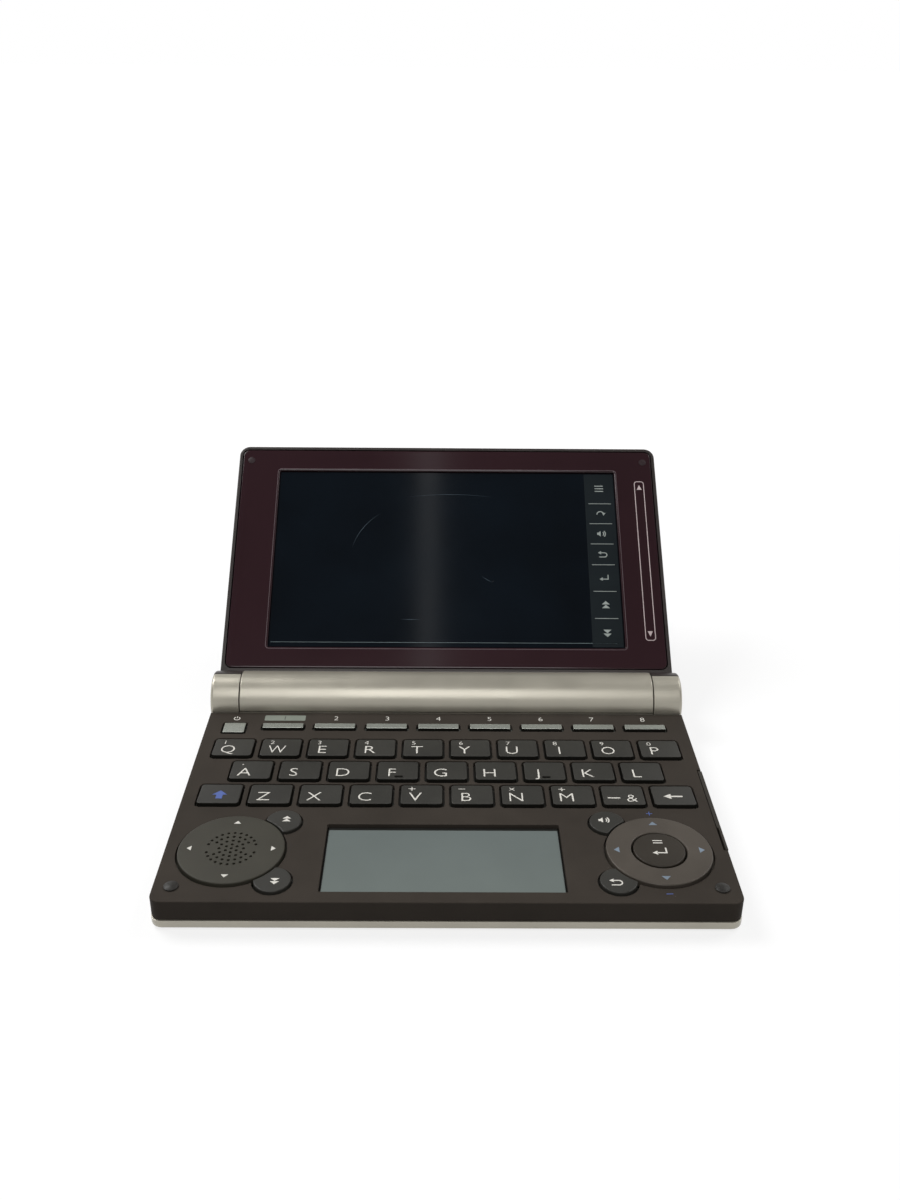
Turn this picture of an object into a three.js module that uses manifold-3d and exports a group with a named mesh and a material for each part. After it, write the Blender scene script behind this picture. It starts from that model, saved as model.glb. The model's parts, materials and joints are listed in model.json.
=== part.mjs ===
// Clamshell electronic dictionary, standing open on a desk. Lengths are in millimetres.
// The base's frame has X to the right along the keyboard, Y from the front edge to the back and Z up from
// the deck that the keys stand out of. The lid's frame has Y from the hinge axis to the lid's free edge and
// Z out of the screen's face. At the end the whole part is moved so that it stands on its feet at Z = 0.

import * as THREE from "three";
import { mergeVertices } from "three/addons/utils/BufferGeometryUtils.js";
import Module from "manifold-3d";

const wasm = await Module();
wasm.setup();

// Fits that all pieces share
const fitGap = 0.3;
const overrun = 1;
const weldDistance = 0.0005;
const facetAngle = THREE.MathUtils.degToRad(10);
const roundSides = 36;
const dialSides = 48;
const smallSides = 20;

// Base: a dark upper shell, a pale lower shell and four feet
const baseWidth = 148;
const deckDepth = 88.2;
const deckThickness = 1.2;
const caseWall = 1.6;
const upperShellHeight = 5.6;
const floorThickness = 1.4;
const caseCornerRadius = 3;
const undersideChamfer = 1.2;
const rearRelief = 0.4;
const footHeight = 0.6;
const footWidth = 8;
const footDepth = 6;
const frontFootInset = 14;
const frontFootY = 9;
const rearFootInset = 15;
const rearFootSetback = 8;
const bumpRadius = 1.9;
const bumpHeight = 0.9;
const bumpInset = 4.5;
const bumpY = 5;
const bumpSteps = 4;

// Battery barrel across the back, on the hinge axis
const barrelRadius = 8.5;
const barrelWall = 1;
const capLength = 8.85;
const barrelRise = 0.2;
const bearingThickness = 2;
const bayWallThickness = 1.6;
const doorDrop = THREE.MathUtils.degToRad(8);

// Two AA cells in line, 14.4 across and 50.5 long each, as the barrel leaves room for them
const bearingRoom = 11.65;
const cellButtonRadius = 2.75;
const cellButtonHeight = 1.3;
const contactRoom = 5.4;

// Lid
const lidTilt = THREE.MathUtils.degToRad(38.5);
const lidSideInset = 0.7;
const lidHingeRoom = 0.8;
const lidFrontInset = 1.6;
const lidFaceDrop = 0.8;
const lidThickness = 6.3;
const lidSkin = 1.2;
const lidRim = 1.1;
const lidCornerRadius = 3.5;
const lidBackChamfer = 1.6;
const bezelThickness = 1.2;
const bezelSide = 14.6;
const bezelBottom = 8.8;
const bezelTop = 9.9;
const glassRecess = 0.7;
const displayMargin = 2.2;
const displayThickness = 2.4;
const armFrom = THREE.MathUtils.degToRad(-57);
const armTo = THREE.MathUtils.degToRad(48.5);
const armRootDepth = 3.5;
const hubRadius = 3.5;
const pinRadius = 2.3;
const capWall = 1.5;

// Keys: a cap that stands out of the deck and a flange that holds it under the plate
const keyGap = 0.35;
const keyTravel = 0.8;
const flangeReach = 0.6;
const flangeThickness = 1;
const keyMargin = 4.65;
const keySpacing = 2.3;
const rowSpacing = 1.8;
const rowsBackInset = 15.4;
const rowsFrontRoom = 5.6;
const keyCornerRadius = 1;
const keyFrontRise = 0.85;
const keyBackRise = 0.15;

const functionDepth = 2.75;
const functionSpacing = 3.27;
const functionLeftMargin = 17.555;
const functionRightMargin = 6.755;
const functionFrontInset = 10;
const functionRise = 0.7;
const functionCornerRadius = 0.3;
const functionCount = 8;

const powerWidth = 6.7;
const powerDepth = 5.4;
const powerInset = 8.95;
const powerFrontInset = 11.9;
const powerRise = 0.25;

// The two round controls and the small round keys beside them
const dialRadius = 13.9;
const dialRise = 0.8;
const dialChamfer = 0.3;
const dialY = 20;
const padInset = 17.7;
const ringInset = 18.5;
const padPlate = 1.2;
const padSkirt = 1.3;
const enterRadius = 6.8;
const enterRise = 0.9;
const sideKeyRadius = 4.75;
const sideKeyRise = 0.7;
const sideKeyAcross = 12.2;
const sideKeyAlong = 12;

// Sound holes of the pad, in rings round one in the middle
const soundHoleRadius = 0.34;
const soundHolePitch = 1.6;
const soundRingCount = 4;
const soundGapAngle = THREE.MathUtils.degToRad(14);

// Lower display under its window in the deck
const panelLeftRoom = 7.15;
const panelRightRoom = 8.35;
const panelWindowDepth = 27.2;
const panelWindowFront = 4.2;
const panelRecess = 0.9;
const panelMargin = 1.7;
const panelThickness = 1.9;

// Circuit board, on posts of the lower shell
const boardThickness = 1;
const boardRoom = 1.2;
const boardMargin = 2;
const boardBackInset = 2.2;
const postRadius = 2;
const postInset = 36;
const postFront = 36.8;
const postBackInset = 12.2;
const chipSize = 14;
const chipHeight = 1.2;
const chipX = -12;
const chipBackInset = 32.2;

// Speaker in a well of the lower shell
const speakerRadius = 8;
const speakerThickness = 2.3;
const speakerMagnetRadius = 4.5;
const speakerMagnetHeight = 0.9;
const wellWall = 0.8;
const wellHeight = 1.6;

// Pen in a side channel of the upper shell
const penWidth = 2.9;
const penHeight = 3.5;
const penLipWidth = 1.05;
const penNailWidth = 0.65;
const penShaftRadius = 1.4;
const penTipLength = 3.6;
const penTipRadius = 0.5;
const penHeadFront = 21.2;
const penNailLength = 9.3;
const penHeadLength = 35.7;
const penEndInset = 4.6;
const penNotch = 0.8;
const channelWall = 0.6;

// Sockets in the left wall of the upper shell
const jackRadius = 1.8;
const jackBackInset = 26.2;
const socketWidth = 7.4;
const socketHeight = 2.9;
const socketBackInset = 42.2;
const socketCentreDrop = 3.3;

// Colours, as seen in the photograph
const finishes = {
  darkShell: { color: 0x3a3633, roughness: 0.55, metalness: 0.1 },
  paleShell: { color: 0xb3aa9c, roughness: 0.35, metalness: 0.45 },
  wineBezel: { color: 0x2e1b1e, roughness: 0.15, metalness: 0 },
  darkKey: { color: 0x423f3c, roughness: 0.5, metalness: 0.05 },
  silverKey: { color: 0xb4b6b0, roughness: 0.35, metalness: 0.5 },
  padPlastic: { color: 0x4a4641, roughness: 0.5, metalness: 0.1 },
  ringPlastic: { color: 0x5d554f, roughness: 0.45, metalness: 0.15 },
  screenGlass: { color: 0x0a1016, roughness: 0.1, metalness: 0 },
  panelGlass: { color: 0x6f7674, roughness: 0.2, metalness: 0 },
  circuitBoard: { color: 0x1f5a38, roughness: 0.6, metalness: 0 },
  speakerMetal: { color: 0x8c8c8c, roughness: 0.4, metalness: 0.8 },
  cellSleeve: { color: 0xc8b468, roughness: 0.3, metalness: 0.6 },
  penPlastic: { color: 0x35312e, roughness: 0.5, metalness: 0.1 },
};

// Places that follow from the sizes above
const halfBase = baseWidth / 2;
const axisY = deckDepth + barrelRadius;
const baseHeight = barrelRadius - barrelRise;
const barrelInside = barrelRadius - barrelWall;
const capInside = halfBase - capLength;
const halfBarrel = capInside - fitGap;
const seamAngle = fitGap / barrelRadius;
const bayHalf = halfBarrel - bearingRoom;
const cellLength = bayHalf - contactRoom / 2;
const cellRadius = barrelInside - fitGap;
const pinEnd = bayHalf + bayWallThickness + fitGap;
const flangeTop = -deckThickness - fitGap;
const keyFoot = flangeTop - flangeThickness;
const boardTop = keyFoot - boardRoom;
const boardBottom = boardTop - boardThickness;
const boardBack = deckDepth - boardBackInset;
const floorTop = floorThickness - baseHeight;

const padX = padInset - halfBase;
const ringX = halfBase - ringInset;
const keysPerRow = 10;
const keyWidth = (baseWidth - 2 * keyMargin - (keysPerRow - 1) * keySpacing) / keysPerRow;
const keyPitch = keyWidth + keySpacing;
const lowestRowFront = dialY + dialRadius + rowsFrontRoom;
const letterRowCount = 3;
const rowsDepth = deckDepth - rowsBackInset - lowestRowFront;
const keyDepth = (rowsDepth - (letterRowCount - 1) * rowSpacing) / letterRowCount;
const rowPitch = keyDepth + rowSpacing;
const functionRowWidth = baseWidth - functionLeftMargin - functionRightMargin;
const functionWidth = (functionRowWidth - (functionCount - 1) * functionSpacing) / functionCount;
const functionPitch = functionWidth + functionSpacing;
const functionRowX = (functionLeftMargin - functionRightMargin) / 2;
const functionFront = deckDepth - functionFrontInset;
const powerX = powerInset - halfBase;
const powerFront = deckDepth - powerFrontInset;

const sideKeyReach = sideKeyAcross + sideKeyRadius;
const panelWindowLeft = padX + sideKeyReach + panelLeftRoom;
const panelWindowRight = ringX - sideKeyReach - panelRightRoom;
const panelWindowWidth = panelWindowRight - panelWindowLeft;
const panelWindowX = (panelWindowLeft + panelWindowRight) / 2;
const panelWindowY = panelWindowFront + panelWindowDepth / 2;

const channelLeft = halfBase - penWidth - fitGap - fitGap / 3;
const penNailBack = penHeadFront + penNailLength;
const penHeadBack = penHeadFront + penHeadLength;
const penEnd = deckDepth - penEndInset;

const lidWidth = baseWidth - 2 * lidSideInset;
const lidBottom = barrelRadius + lidHingeRoom;
const lidTop = axisY - lidFrontInset;
const armRoot = barrelRadius - armRootDepth;
const lidFace = -lidFaceDrop;
const lidBack = lidFace - lidThickness;
const windowWidth = lidWidth - 2 * bezelSide;
const windowBottom = lidBottom + bezelBottom;
const windowTop = lidTop - bezelTop;

// Solids

// A closed geometry as a manifold solid, with its shared vertices merged.
function solidOf(geometry) {
  const bare = geometry.index ? geometry.toNonIndexed() : geometry.clone();
  bare.deleteAttribute("normal");
  bare.deleteAttribute("uv");
  const merged = mergeVertices(bare, weldDistance);
  const corners = merged.index.array;
  const triVerts = [];
  for (let i = 0; i < corners.length; i += 3) {
    const [a, b, c] = corners.slice(i, i + 3);
    if (a !== b && b !== c && c !== a) triVerts.push(a, b, c);
  }
  return new wasm.Manifold(
    new wasm.Mesh({
      numProp: 3,
      vertProperties: merged.attributes.position.array,
      triVerts: new Uint32Array(triVerts),
    }),
  );
}

// Several solids as one.
function join(...solids) {
  return solids.reduce((whole, solid) => whole.add(solid));
}

// A named mesh of a solid, with its own material.
function piece(name, solid, finish) {
  const made = solid.getMesh();
  const geometry = new THREE.BufferGeometry();
  geometry.setAttribute("position", new THREE.BufferAttribute(made.vertProperties, made.numProp));
  geometry.setIndex(new THREE.BufferAttribute(made.triVerts, 1));
  geometry.computeVertexNormals();
  const mesh = new THREE.Mesh(geometry, new THREE.MeshStandardMaterial(finish));
  mesh.name = name;
  return mesh;
}

// A box between two corners.
function block([left, front, low], [right, back, high]) {
  const box = new THREE.BoxGeometry(right - left, back - front, high - low);
  box.translate((left + right) / 2, (front + back) / 2, (low + high) / 2);
  return solidOf(box);
}

// A rounded rectangle centred on a point, as a flat shape.
function roundedRectangle(width, depth, radius, x = 0, y = 0) {
  const right = width / 2 - radius;
  const back = depth / 2 - radius;
  const quarter = Math.PI / 2;
  const shape = new THREE.Shape();
  shape.absarc(x + right, y + back, radius, 0, quarter);
  shape.absarc(x - right, y + back, radius, quarter, 2 * quarter);
  shape.absarc(x - right, y - back, radius, 2 * quarter, 3 * quarter);
  shape.absarc(x + right, y - back, radius, 3 * quarter, 4 * quarter);
  return shape;
}

// A flat shape drawn up from one height to another.
function prism(shape, low, high, curveSegments = 1) {
  const drawn = new THREE.ExtrudeGeometry(shape, { depth: high - low, bevelEnabled: false, curveSegments });
  drawn.translate(0, 0, low);
  return solidOf(drawn);
}

// A flat shape drawn up, with its lower edge chamfered.
function chamferedPrism(shape, low, high, chamfer, curveSegments) {
  const drawn = new THREE.ExtrudeGeometry(shape, {
    depth: high - low - chamfer,
    bevelThickness: chamfer,
    bevelSize: chamfer,
    bevelOffset: -chamfer,
    bevelSegments: 1,
    curveSegments,
  });
  drawn.translate(0, 0, low + chamfer);
  const size = new THREE.Box3().setFromBufferAttribute(drawn.getAttribute("position"));
  const above = block(
    [size.min.x - overrun, size.min.y - overrun, high],
    [size.max.x + overrun, size.max.y + overrun, size.max.z + overrun],
  );
  return solidOf(drawn).subtract(above);
}

// A profile of [radius, height] points spun round an upright axis.
function spun(profile, sides, x = 0, y = 0) {
  const points = profile.map(([radius, height]) => new THREE.Vector2(radius, height));
  const lathe = new THREE.LatheGeometry(points, sides);
  lathe.rotateX(Math.PI / 2);
  lathe.translate(x, y, 0);
  return solidOf(lathe);
}

// A plain upright cylinder.
function post(radius, low, high, x, y, sides) {
  const cylinder = new THREE.CylinderGeometry(radius, radius, high - low, sides);
  cylinder.rotateX(Math.PI / 2);
  cylinder.translate(x, y, (low + high) / 2);
  return solidOf(cylinder);
}

// A plain cylinder along X.
function rod(radius, left, right, y, z, sides) {
  const cylinder = new THREE.CylinderGeometry(radius, radius, right - left, sides);
  cylinder.rotateZ(Math.PI / 2);
  cylinder.translate((left + right) / 2, y, z);
  return solidOf(cylinder);
}

// A sector of a ring round an axis along X. Angles run from the back (+Y) upwards.
function sector(inner, outer, from, to, left, right, y, z) {
  const shape = new THREE.Shape();
  shape.absarc(0, 0, outer, from, to);
  if (inner > 0) shape.absarc(0, 0, inner, to, from, true);
  else shape.lineTo(0, 0);
  const curveSegments = Math.max(1, Math.round((to - from) / (2 * facetAngle)));
  const drawn = new THREE.ExtrudeGeometry(shape, { depth: right - left, bevelEnabled: false, curveSegments });
  const acrossX = new THREE.Matrix4().makeBasis(
    new THREE.Vector3(0, 1, 0),
    new THREE.Vector3(0, 0, 1),
    new THREE.Vector3(1, 0, 0),
  );
  drawn.applyMatrix4(acrossX);
  drawn.translate(left, y, z);
  return solidOf(drawn);
}

// The same solid at the left and at the right.
function bothSides(make) {
  return join(make(-1), make(1));
}

// A block given by how far it is from the middle, on the side of the sign.
function sideBlock(side, [near, front, low], [far, back, high]) {
  const left = Math.min(side * near, side * far);
  const right = Math.max(side * near, side * far);
  return block([left, front, low], [right, back, high]);
}

// Keys

// A rectangular key round its own centre: the cap's top slopes from its front edge to its back edge.
function rectangularKey(width, depth, radius, frontRise, backRise) {
  const capFoot = (keyFoot + flangeTop) / 2;
  const cap = new THREE.ExtrudeGeometry(roundedRectangle(width, depth, radius), {
    depth: frontRise - capFoot,
    bevelEnabled: false,
    curveSegments: 1,
  });
  cap.translate(0, 0, capFoot);
  const places = cap.getAttribute("position");
  for (let i = 0; i < places.count; i++) {
    const shareBack = places.getY(i) / depth + 1 / 2;
    if (places.getZ(i) > 0) places.setZ(i, frontRise + (backRise - frontRise) * shareBack);
  }
  const flange = prism(
    roundedRectangle(width + 2 * flangeReach, depth + 2 * flangeReach, radius + flangeReach),
    keyFoot,
    flangeTop,
  );
  return solidOf(cap).add(flange);
}

// The hole that a rectangular key goes through.
function rectangularHole(width, depth, radius, x, y) {
  const shape = roundedRectangle(width + 2 * keyGap, depth + 2 * keyGap, radius + keyGap, x, y);
  return prism(shape, flangeTop, overrun);
}

// Small round keys, beside the pad on the left and beside the ring on the right.
const sideKeys = [
  { name: "page_up_key", dial: padX, across: sideKeyAcross, along: sideKeyAlong },
  { name: "page_down_key", dial: padX, across: sideKeyAcross, along: -sideKeyAlong },
  { name: "voice_key", dial: ringX, across: -sideKeyAcross, along: sideKeyAlong },
  { name: "back_key", dial: ringX, across: -sideKeyAcross, along: -sideKeyAlong },
];

// A small round key, with a bite where the large round control comes near.
function sideKey({ across, along }) {
  const flangeRadius = sideKeyRadius + flangeReach;
  const whole = spun(
    [
      [0, keyFoot],
      [flangeRadius, keyFoot],
      [flangeRadius, flangeTop],
      [sideKeyRadius, flangeTop],
      [sideKeyRadius, sideKeyRise - dialChamfer],
      [sideKeyRadius - dialChamfer, sideKeyRise],
      [0, sideKeyRise],
    ],
    smallSides,
  );
  const bite = post(dialRadius + keyGap, keyFoot - overrun, sideKeyRise + overrun, -across, -along, dialSides);
  return whole.subtract(bite);
}

// What the large round controls leave free under the deck for the small keys' flanges.
function sideKeyRoom(dial) {
  const radius = sideKeyRadius + flangeReach + fitGap;
  const rooms = sideKeys
    .filter((key) => key.dial === dial)
    .map(({ across, along }) => post(radius, keyFoot - overrun, flangeTop + fitGap, across, along, smallSides));
  return join(...rooms);
}

// The round pad over the speaker: a perforated plate with a skirt and a flange.
function speakerPad() {
  const underPlate = dialRise - padPlate;
  const skirtInside = dialRadius - padSkirt;
  const whole = spun(
    [
      [0, underPlate],
      [skirtInside, underPlate],
      [skirtInside, keyFoot],
      [dialRadius + flangeReach, keyFoot],
      [dialRadius + flangeReach, flangeTop],
      [dialRadius, flangeTop],
      [dialRadius, dialRise - dialChamfer],
      [dialRadius - dialChamfer, dialRise],
      [0, dialRise],
    ],
    dialSides,
  );
  const holes = soundHoles().map(([x, y]) => post(soundHoleRadius, underPlate - overrun, dialRise + overrun, x, y, 6));
  return whole.subtract(join(...holes)).subtract(sideKeyRoom(padX));
}

// Places of the sound holes: rings of six holes more each, with a gap at the left and the right.
function soundHoles() {
  const places = [[0, 0]];
  for (let ring = 1; ring <= soundRingCount; ring++) {
    const radius = ring * soundHolePitch;
    const step = (2 * Math.PI) / (6 * ring);
    for (let i = 0; i < 6 * ring; i++) {
      const angle = Math.PI / 2 + i * step;
      const inGap = Math.abs(Math.sin(angle)) < Math.sin(soundGapAngle) && ring > soundRingCount / 2;
      if (!inGap) places.push([radius * Math.cos(angle), radius * Math.sin(angle)]);
    }
  }
  return places;
}

// The four-way ring round the enter key.
function navRing() {
  const inside = enterRadius + keyGap;
  const ring = spun(
    [
      [inside, keyFoot],
      [dialRadius + flangeReach, keyFoot],
      [dialRadius + flangeReach, flangeTop],
      [dialRadius, flangeTop],
      [dialRadius, dialRise - dialChamfer],
      [dialRadius - dialChamfer, dialRise],
      [inside, dialRise],
      [inside, keyFoot],
    ],
    dialSides,
  );
  return ring.subtract(sideKeyRoom(ringX));
}

// The round key in the middle of the ring.
function enterKey() {
  return spun(
    [
      [0, keyFoot],
      [enterRadius, keyFoot],
      [enterRadius, enterRise - dialChamfer],
      [enterRadius - dialChamfer, enterRise],
      [0, enterRise],
    ],
    roundSides,
  );
}

// Letter rows from the front to the back.
const letterRows = [
  ["key_shift", "key_z", "key_x", "key_c", "key_v", "key_b", "key_n", "key_m", "key_symbol", "key_delete"],
  ["key_a", "key_s", "key_d", "key_f", "key_g", "key_h", "key_j", "key_k", "key_l"],
  ["key_q", "key_w", "key_e", "key_r", "key_t", "key_y", "key_u", "key_i", "key_o", "key_p"],
];

// Every rectangular key, with its name, size and centre on the deck.
function rectangularKeys() {
  const keys = [];
  letterRows.forEach((names, row) => {
    names.forEach((name, i) => {
      const x = (i - (names.length - 1) / 2) * keyPitch;
      const y = lowestRowFront + keyDepth / 2 + row * rowPitch;
      const size = [keyWidth, keyDepth, keyCornerRadius];
      keys.push({ name, x, y, size, rises: [keyFrontRise, keyBackRise], finish: finishes.darkKey });
    });
  });
  for (let i = 0; i < functionCount; i++) {
    keys.push({
      name: "function_key_" + (i + 1),
      x: functionRowX + (i - (functionCount - 1) / 2) * functionPitch,
      y: functionFront + functionDepth / 2,
      size: [functionWidth, functionDepth, functionCornerRadius],
      rises: [functionRise, functionRise],
      finish: finishes.silverKey,
    });
  }
  keys.push({
    name: "power_key",
    x: powerX,
    y: powerFront + powerDepth / 2,
    size: [powerWidth, powerDepth, functionCornerRadius],
    rises: [powerRise, powerRise],
    finish: finishes.silverKey,
  });
  return keys;
}

// Base

// The outline of the base from above, square at the back where it meets the barrel.
function baseOutline(inset, back) {
  const left = -halfBase + inset;
  const right = halfBase - inset;
  const radius = caseCornerRadius - Math.min(inset, caseCornerRadius / 2);
  const front = inset;
  const shape = new THREE.Shape();
  shape.moveTo(right, back);
  shape.lineTo(left, back);
  shape.lineTo(left, front + radius);
  shape.absarc(left + radius, front + radius, radius, Math.PI, (3 * Math.PI) / 2);
  shape.absarc(right - radius, front + radius, radius, (3 * Math.PI) / 2, 2 * Math.PI);
  return shape;
}

// Room for the lid's arms and caps, which turn round the barrel's ends behind the base.
function armRoom(side) {
  const near = halfBarrel;
  const far = halfBase + overrun;
  const left = Math.min(side * near, side * far);
  const right = Math.max(side * near, side * far);
  return rod(barrelRadius + rearRelief, left, right, axisY, barrelRise, roundSides);
}

// A low round bump near a front corner, which the closed lid comes to rest over.
function deckBump(side) {
  const sphereRadius = (bumpRadius ** 2 + bumpHeight ** 2) / (2 * bumpHeight);
  const edgeAngle = Math.asin(bumpRadius / sphereRadius);
  const profile = [
    [0, -deckThickness / 2],
    [bumpRadius, -deckThickness / 2],
  ];
  for (let i = 0; i <= bumpSteps; i++) {
    const angle = edgeAngle * (1 - i / bumpSteps);
    profile.push([sphereRadius * Math.sin(angle), bumpHeight - sphereRadius * (1 - Math.cos(angle))]);
  }
  return spun(profile, smallSides, side * (halfBase - bumpInset), bumpY);
}

// The dark upper shell: the deck with its holes, walls down to the parting line and the pen's channel.
function baseTopCase() {
  const back = deckDepth - fitGap;
  const low = -upperShellHeight;
  const outer = prism(baseOutline(0, back), low, 0, 2);
  const inner = prism(baseOutline(caseWall, back + overrun), low - overrun, -deckThickness, 2);
  const rib = block(
    [channelLeft - channelWall, penHeadFront - penNotch - caseWall, low],
    [channelLeft, penEnd + penNotch + caseWall, -deckThickness / 2],
  );
  const rectangular = rectangularKeys().map(({ x, y, size }) => rectangularHole(...size, x, y));
  const round = [padX, ringX].map((x) => post(dialRadius + keyGap, flangeTop, overrun, x, dialY, dialSides));
  const small = sideKeys.map(({ dial, across, along }) =>
    post(sideKeyRadius + keyGap, flangeTop, overrun, dial + across, dialY + along, smallSides),
  );
  const window = block(
    [panelWindowX - panelWindowWidth / 2, panelWindowFront, -deckThickness - overrun],
    [panelWindowX + panelWindowWidth / 2, panelWindowFront + panelWindowDepth, overrun],
  );
  const channel = block(
    [channelLeft, penHeadFront - fitGap, low - overrun],
    [halfBase + overrun, penEnd + fitGap, -deckThickness],
  );
  const lipSlot = block(
    [halfBase - penLipWidth - fitGap, penHeadFront - fitGap, -deckThickness - overrun],
    [halfBase + overrun, penHeadBack + penNotch, overrun],
  );
  const socketZ = -socketCentreDrop;
  const wallFar = -halfBase - overrun;
  const wallNear = -halfBase + caseWall + overrun;
  const jack = rod(jackRadius, wallFar, wallNear, deckDepth - jackBackInset, socketZ, smallSides);
  const socketY = deckDepth - socketBackInset;
  const socket = block(
    [wallFar, socketY - socketWidth / 2, socketZ - socketHeight / 2],
    [wallNear, socketY + socketWidth / 2, socketZ + socketHeight / 2],
  );
  const cuts = join(...rectangular, ...round, ...small, window, channel, lipSlot, jack, socket);
  return outer
    .subtract(inner)
    .add(rib)
    .subtract(cuts)
    .subtract(bothSides(armRoom))
    .add(bothSides(deckBump));
}

// One end wall of the barrel, a full disc that the lower trough holds.
function endWall(side, near, thickness) {
  const left = Math.min(side * near, side * (near + thickness));
  const right = left + thickness;
  const disc = rod(cellRadius, left, right, axisY, barrelRise, roundSides);
  const foot = sector(
    0,
    barrelInside + barrelWall / 2,
    Math.PI + seamAngle,
    2 * Math.PI - doorDrop - seamAngle,
    left,
    right,
    axisY,
    barrelRise,
  );
  return disc.add(foot);
}

// A back foot, moulded under the barrel near its end.
function rearFoot(side) {
  const footX = halfBase - rearFootInset;
  const foot = sideBlock(
    side,
    [footX - footWidth / 2, axisY + footDepth / 2 - rearFootSetback, -baseHeight - footHeight],
    [footX + footWidth / 2, axisY + footDepth / 2, -baseHeight + floorThickness],
  );
  const hollow = rod(barrelInside + barrelWall / 2, -halfBarrel, halfBarrel, axisY, barrelRise, roundSides);
  return foot.subtract(hollow);
}

// The pale lower shell: a tray with the barrel's trough, its end walls, the board's posts and the feet.
function baseBottomCase() {
  const low = -baseHeight;
  const high = -upperShellHeight - fitGap;
  const tray = chamferedPrism(baseOutline(0, axisY), low, high, undersideChamfer, 2);
  const hollow = prism(baseOutline(caseWall, axisY - barrelRadius), floorTop, high + overrun, 2);
  const behindTray = block([-halfBase - overrun, axisY - barrelRadius, floorTop], [
    halfBase + overrun,
    axisY + overrun,
    high + overrun,
  ]);
  const trough = sector(
    barrelInside,
    barrelRadius,
    Math.PI + seamAngle,
    2 * Math.PI - doorDrop - seamAngle,
    -halfBarrel,
    halfBarrel,
    axisY,
    barrelRise,
  );
  const doorway = sector(
    0,
    barrelRadius + overrun,
    (3 * Math.PI) / 2,
    2 * Math.PI,
    -bayHalf,
    bayHalf,
    axisY,
    barrelRise,
  );
  const barrelBore = rod(barrelInside, -halfBarrel, halfBarrel, axisY, barrelRise, roundSides);
  const ends = bothSides((side) =>
    join(
      endWall(side, halfBarrel - bearingThickness, bearingThickness),
      endWall(side, bayHalf, bayWallThickness),
    ),
  );
  const pinHoles = bothSides((side) => {
    const near = halfBarrel - bearingThickness - overrun;
    const left = Math.min(side * near, side * (halfBarrel + overrun));
    const right = left + bearingThickness + 2 * overrun;
    return rod(pinRadius + fitGap, left, right, axisY, barrelRise, smallSides);
  });
  const postX = halfBase - postInset;
  const posts = [postFront, deckDepth - postBackInset].flatMap((y) =>
    [-postX, postX].map((x) => post(postRadius, floorTop - floorThickness / 2, boardBottom, x, y, smallSides)),
  );
  const wellOutside = speakerRadius + fitGap + wellWall;
  const well = post(wellOutside, floorTop - floorThickness / 2, floorTop + wellHeight, padX, dialY, roundSides);
  const wellInside = post(speakerRadius + fitGap, floorTop, floorTop + wellHeight + overrun, padX, dialY, roundSides);
  const footX = halfBase - frontFootInset;
  const frontFeet = bothSides((side) =>
    sideBlock(
      side,
      [footX - footWidth / 2, frontFootY - footDepth / 2, low - footHeight],
      [footX + footWidth / 2, frontFootY + footDepth / 2, low + floorThickness / 2],
    ),
  );
  const shell = tray.subtract(hollow).subtract(behindTray).subtract(barrelBore).subtract(bothSides(armRoom));
  return join(shell, well, ...posts, frontFeet, trough)
    .subtract(wellInside)
    .subtract(doorway)
    .add(ends)
    .subtract(pinHoles)
    .add(bothSides(rearFoot));
}

// The pale cover over the barrel.
function barrelCover() {
  return sector(barrelInside, barrelRadius, -doorDrop, Math.PI, -halfBarrel, halfBarrel, axisY, barrelRise);
}

// The curved battery door at the lower back of the barrel.
function batteryDoor() {
  return sector(
    barrelInside,
    barrelRadius,
    (3 * Math.PI) / 2 + seamAngle,
    2 * Math.PI - doorDrop - seamAngle,
    fitGap - bayHalf,
    bayHalf - fitGap,
    axisY,
    barrelRise,
  );
}

// One AA cell from its flat end to its button, which points right.
function cell(left) {
  const shoulder = left + cellLength - cellButtonHeight;
  const can = rod(cellRadius, left, shoulder, axisY, barrelRise, roundSides);
  const button = rod(cellButtonRadius, shoulder - cellButtonHeight, left + cellLength, axisY, barrelRise, smallSides);
  return can.add(button);
}

// The circuit board with its chips below and a hole round the speaker.
function mainBoard() {
  const left = -halfBase + caseWall + boardMargin;
  const right = channelLeft - channelWall - fitGap;
  const front = caseWall + boardMargin;
  const plate = block([left, front, boardBottom], [right, boardBack, boardTop]);
  const speakerHole = post(speakerRadius + boardMargin, boardBottom - overrun, boardTop + overrun, padX, dialY, roundSides);
  const chipY = deckDepth - chipBackInset;
  const chip = block(
    [chipX - chipSize / 2, chipY - chipSize / 2, boardBottom - chipHeight],
    [chipX + chipSize / 2, chipY + chipSize / 2, boardBottom + boardThickness / 2],
  );
  const memory = block(
    [-chipX, chipY - chipSize / 2, boardBottom - chipHeight],
    [-chipX + chipSize / 2, chipY + chipSize / 2, boardBottom + boardThickness / 2],
  );
  return plate.subtract(speakerHole).add(chip).add(memory);
}

// The round speaker, with its magnet below, in the well of the lower shell.
function speaker() {
  const low = floorTop + fitGap / 2;
  const rim = low + speakerMagnetHeight;
  return spun(
    [
      [0, low],
      [speakerMagnetRadius, low],
      [speakerMagnetRadius, rim],
      [speakerRadius, rim],
      [speakerRadius, low + speakerThickness],
      [0, low + speakerThickness],
    ],
    roundSides,
    padX,
    dialY,
  );
}

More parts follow.
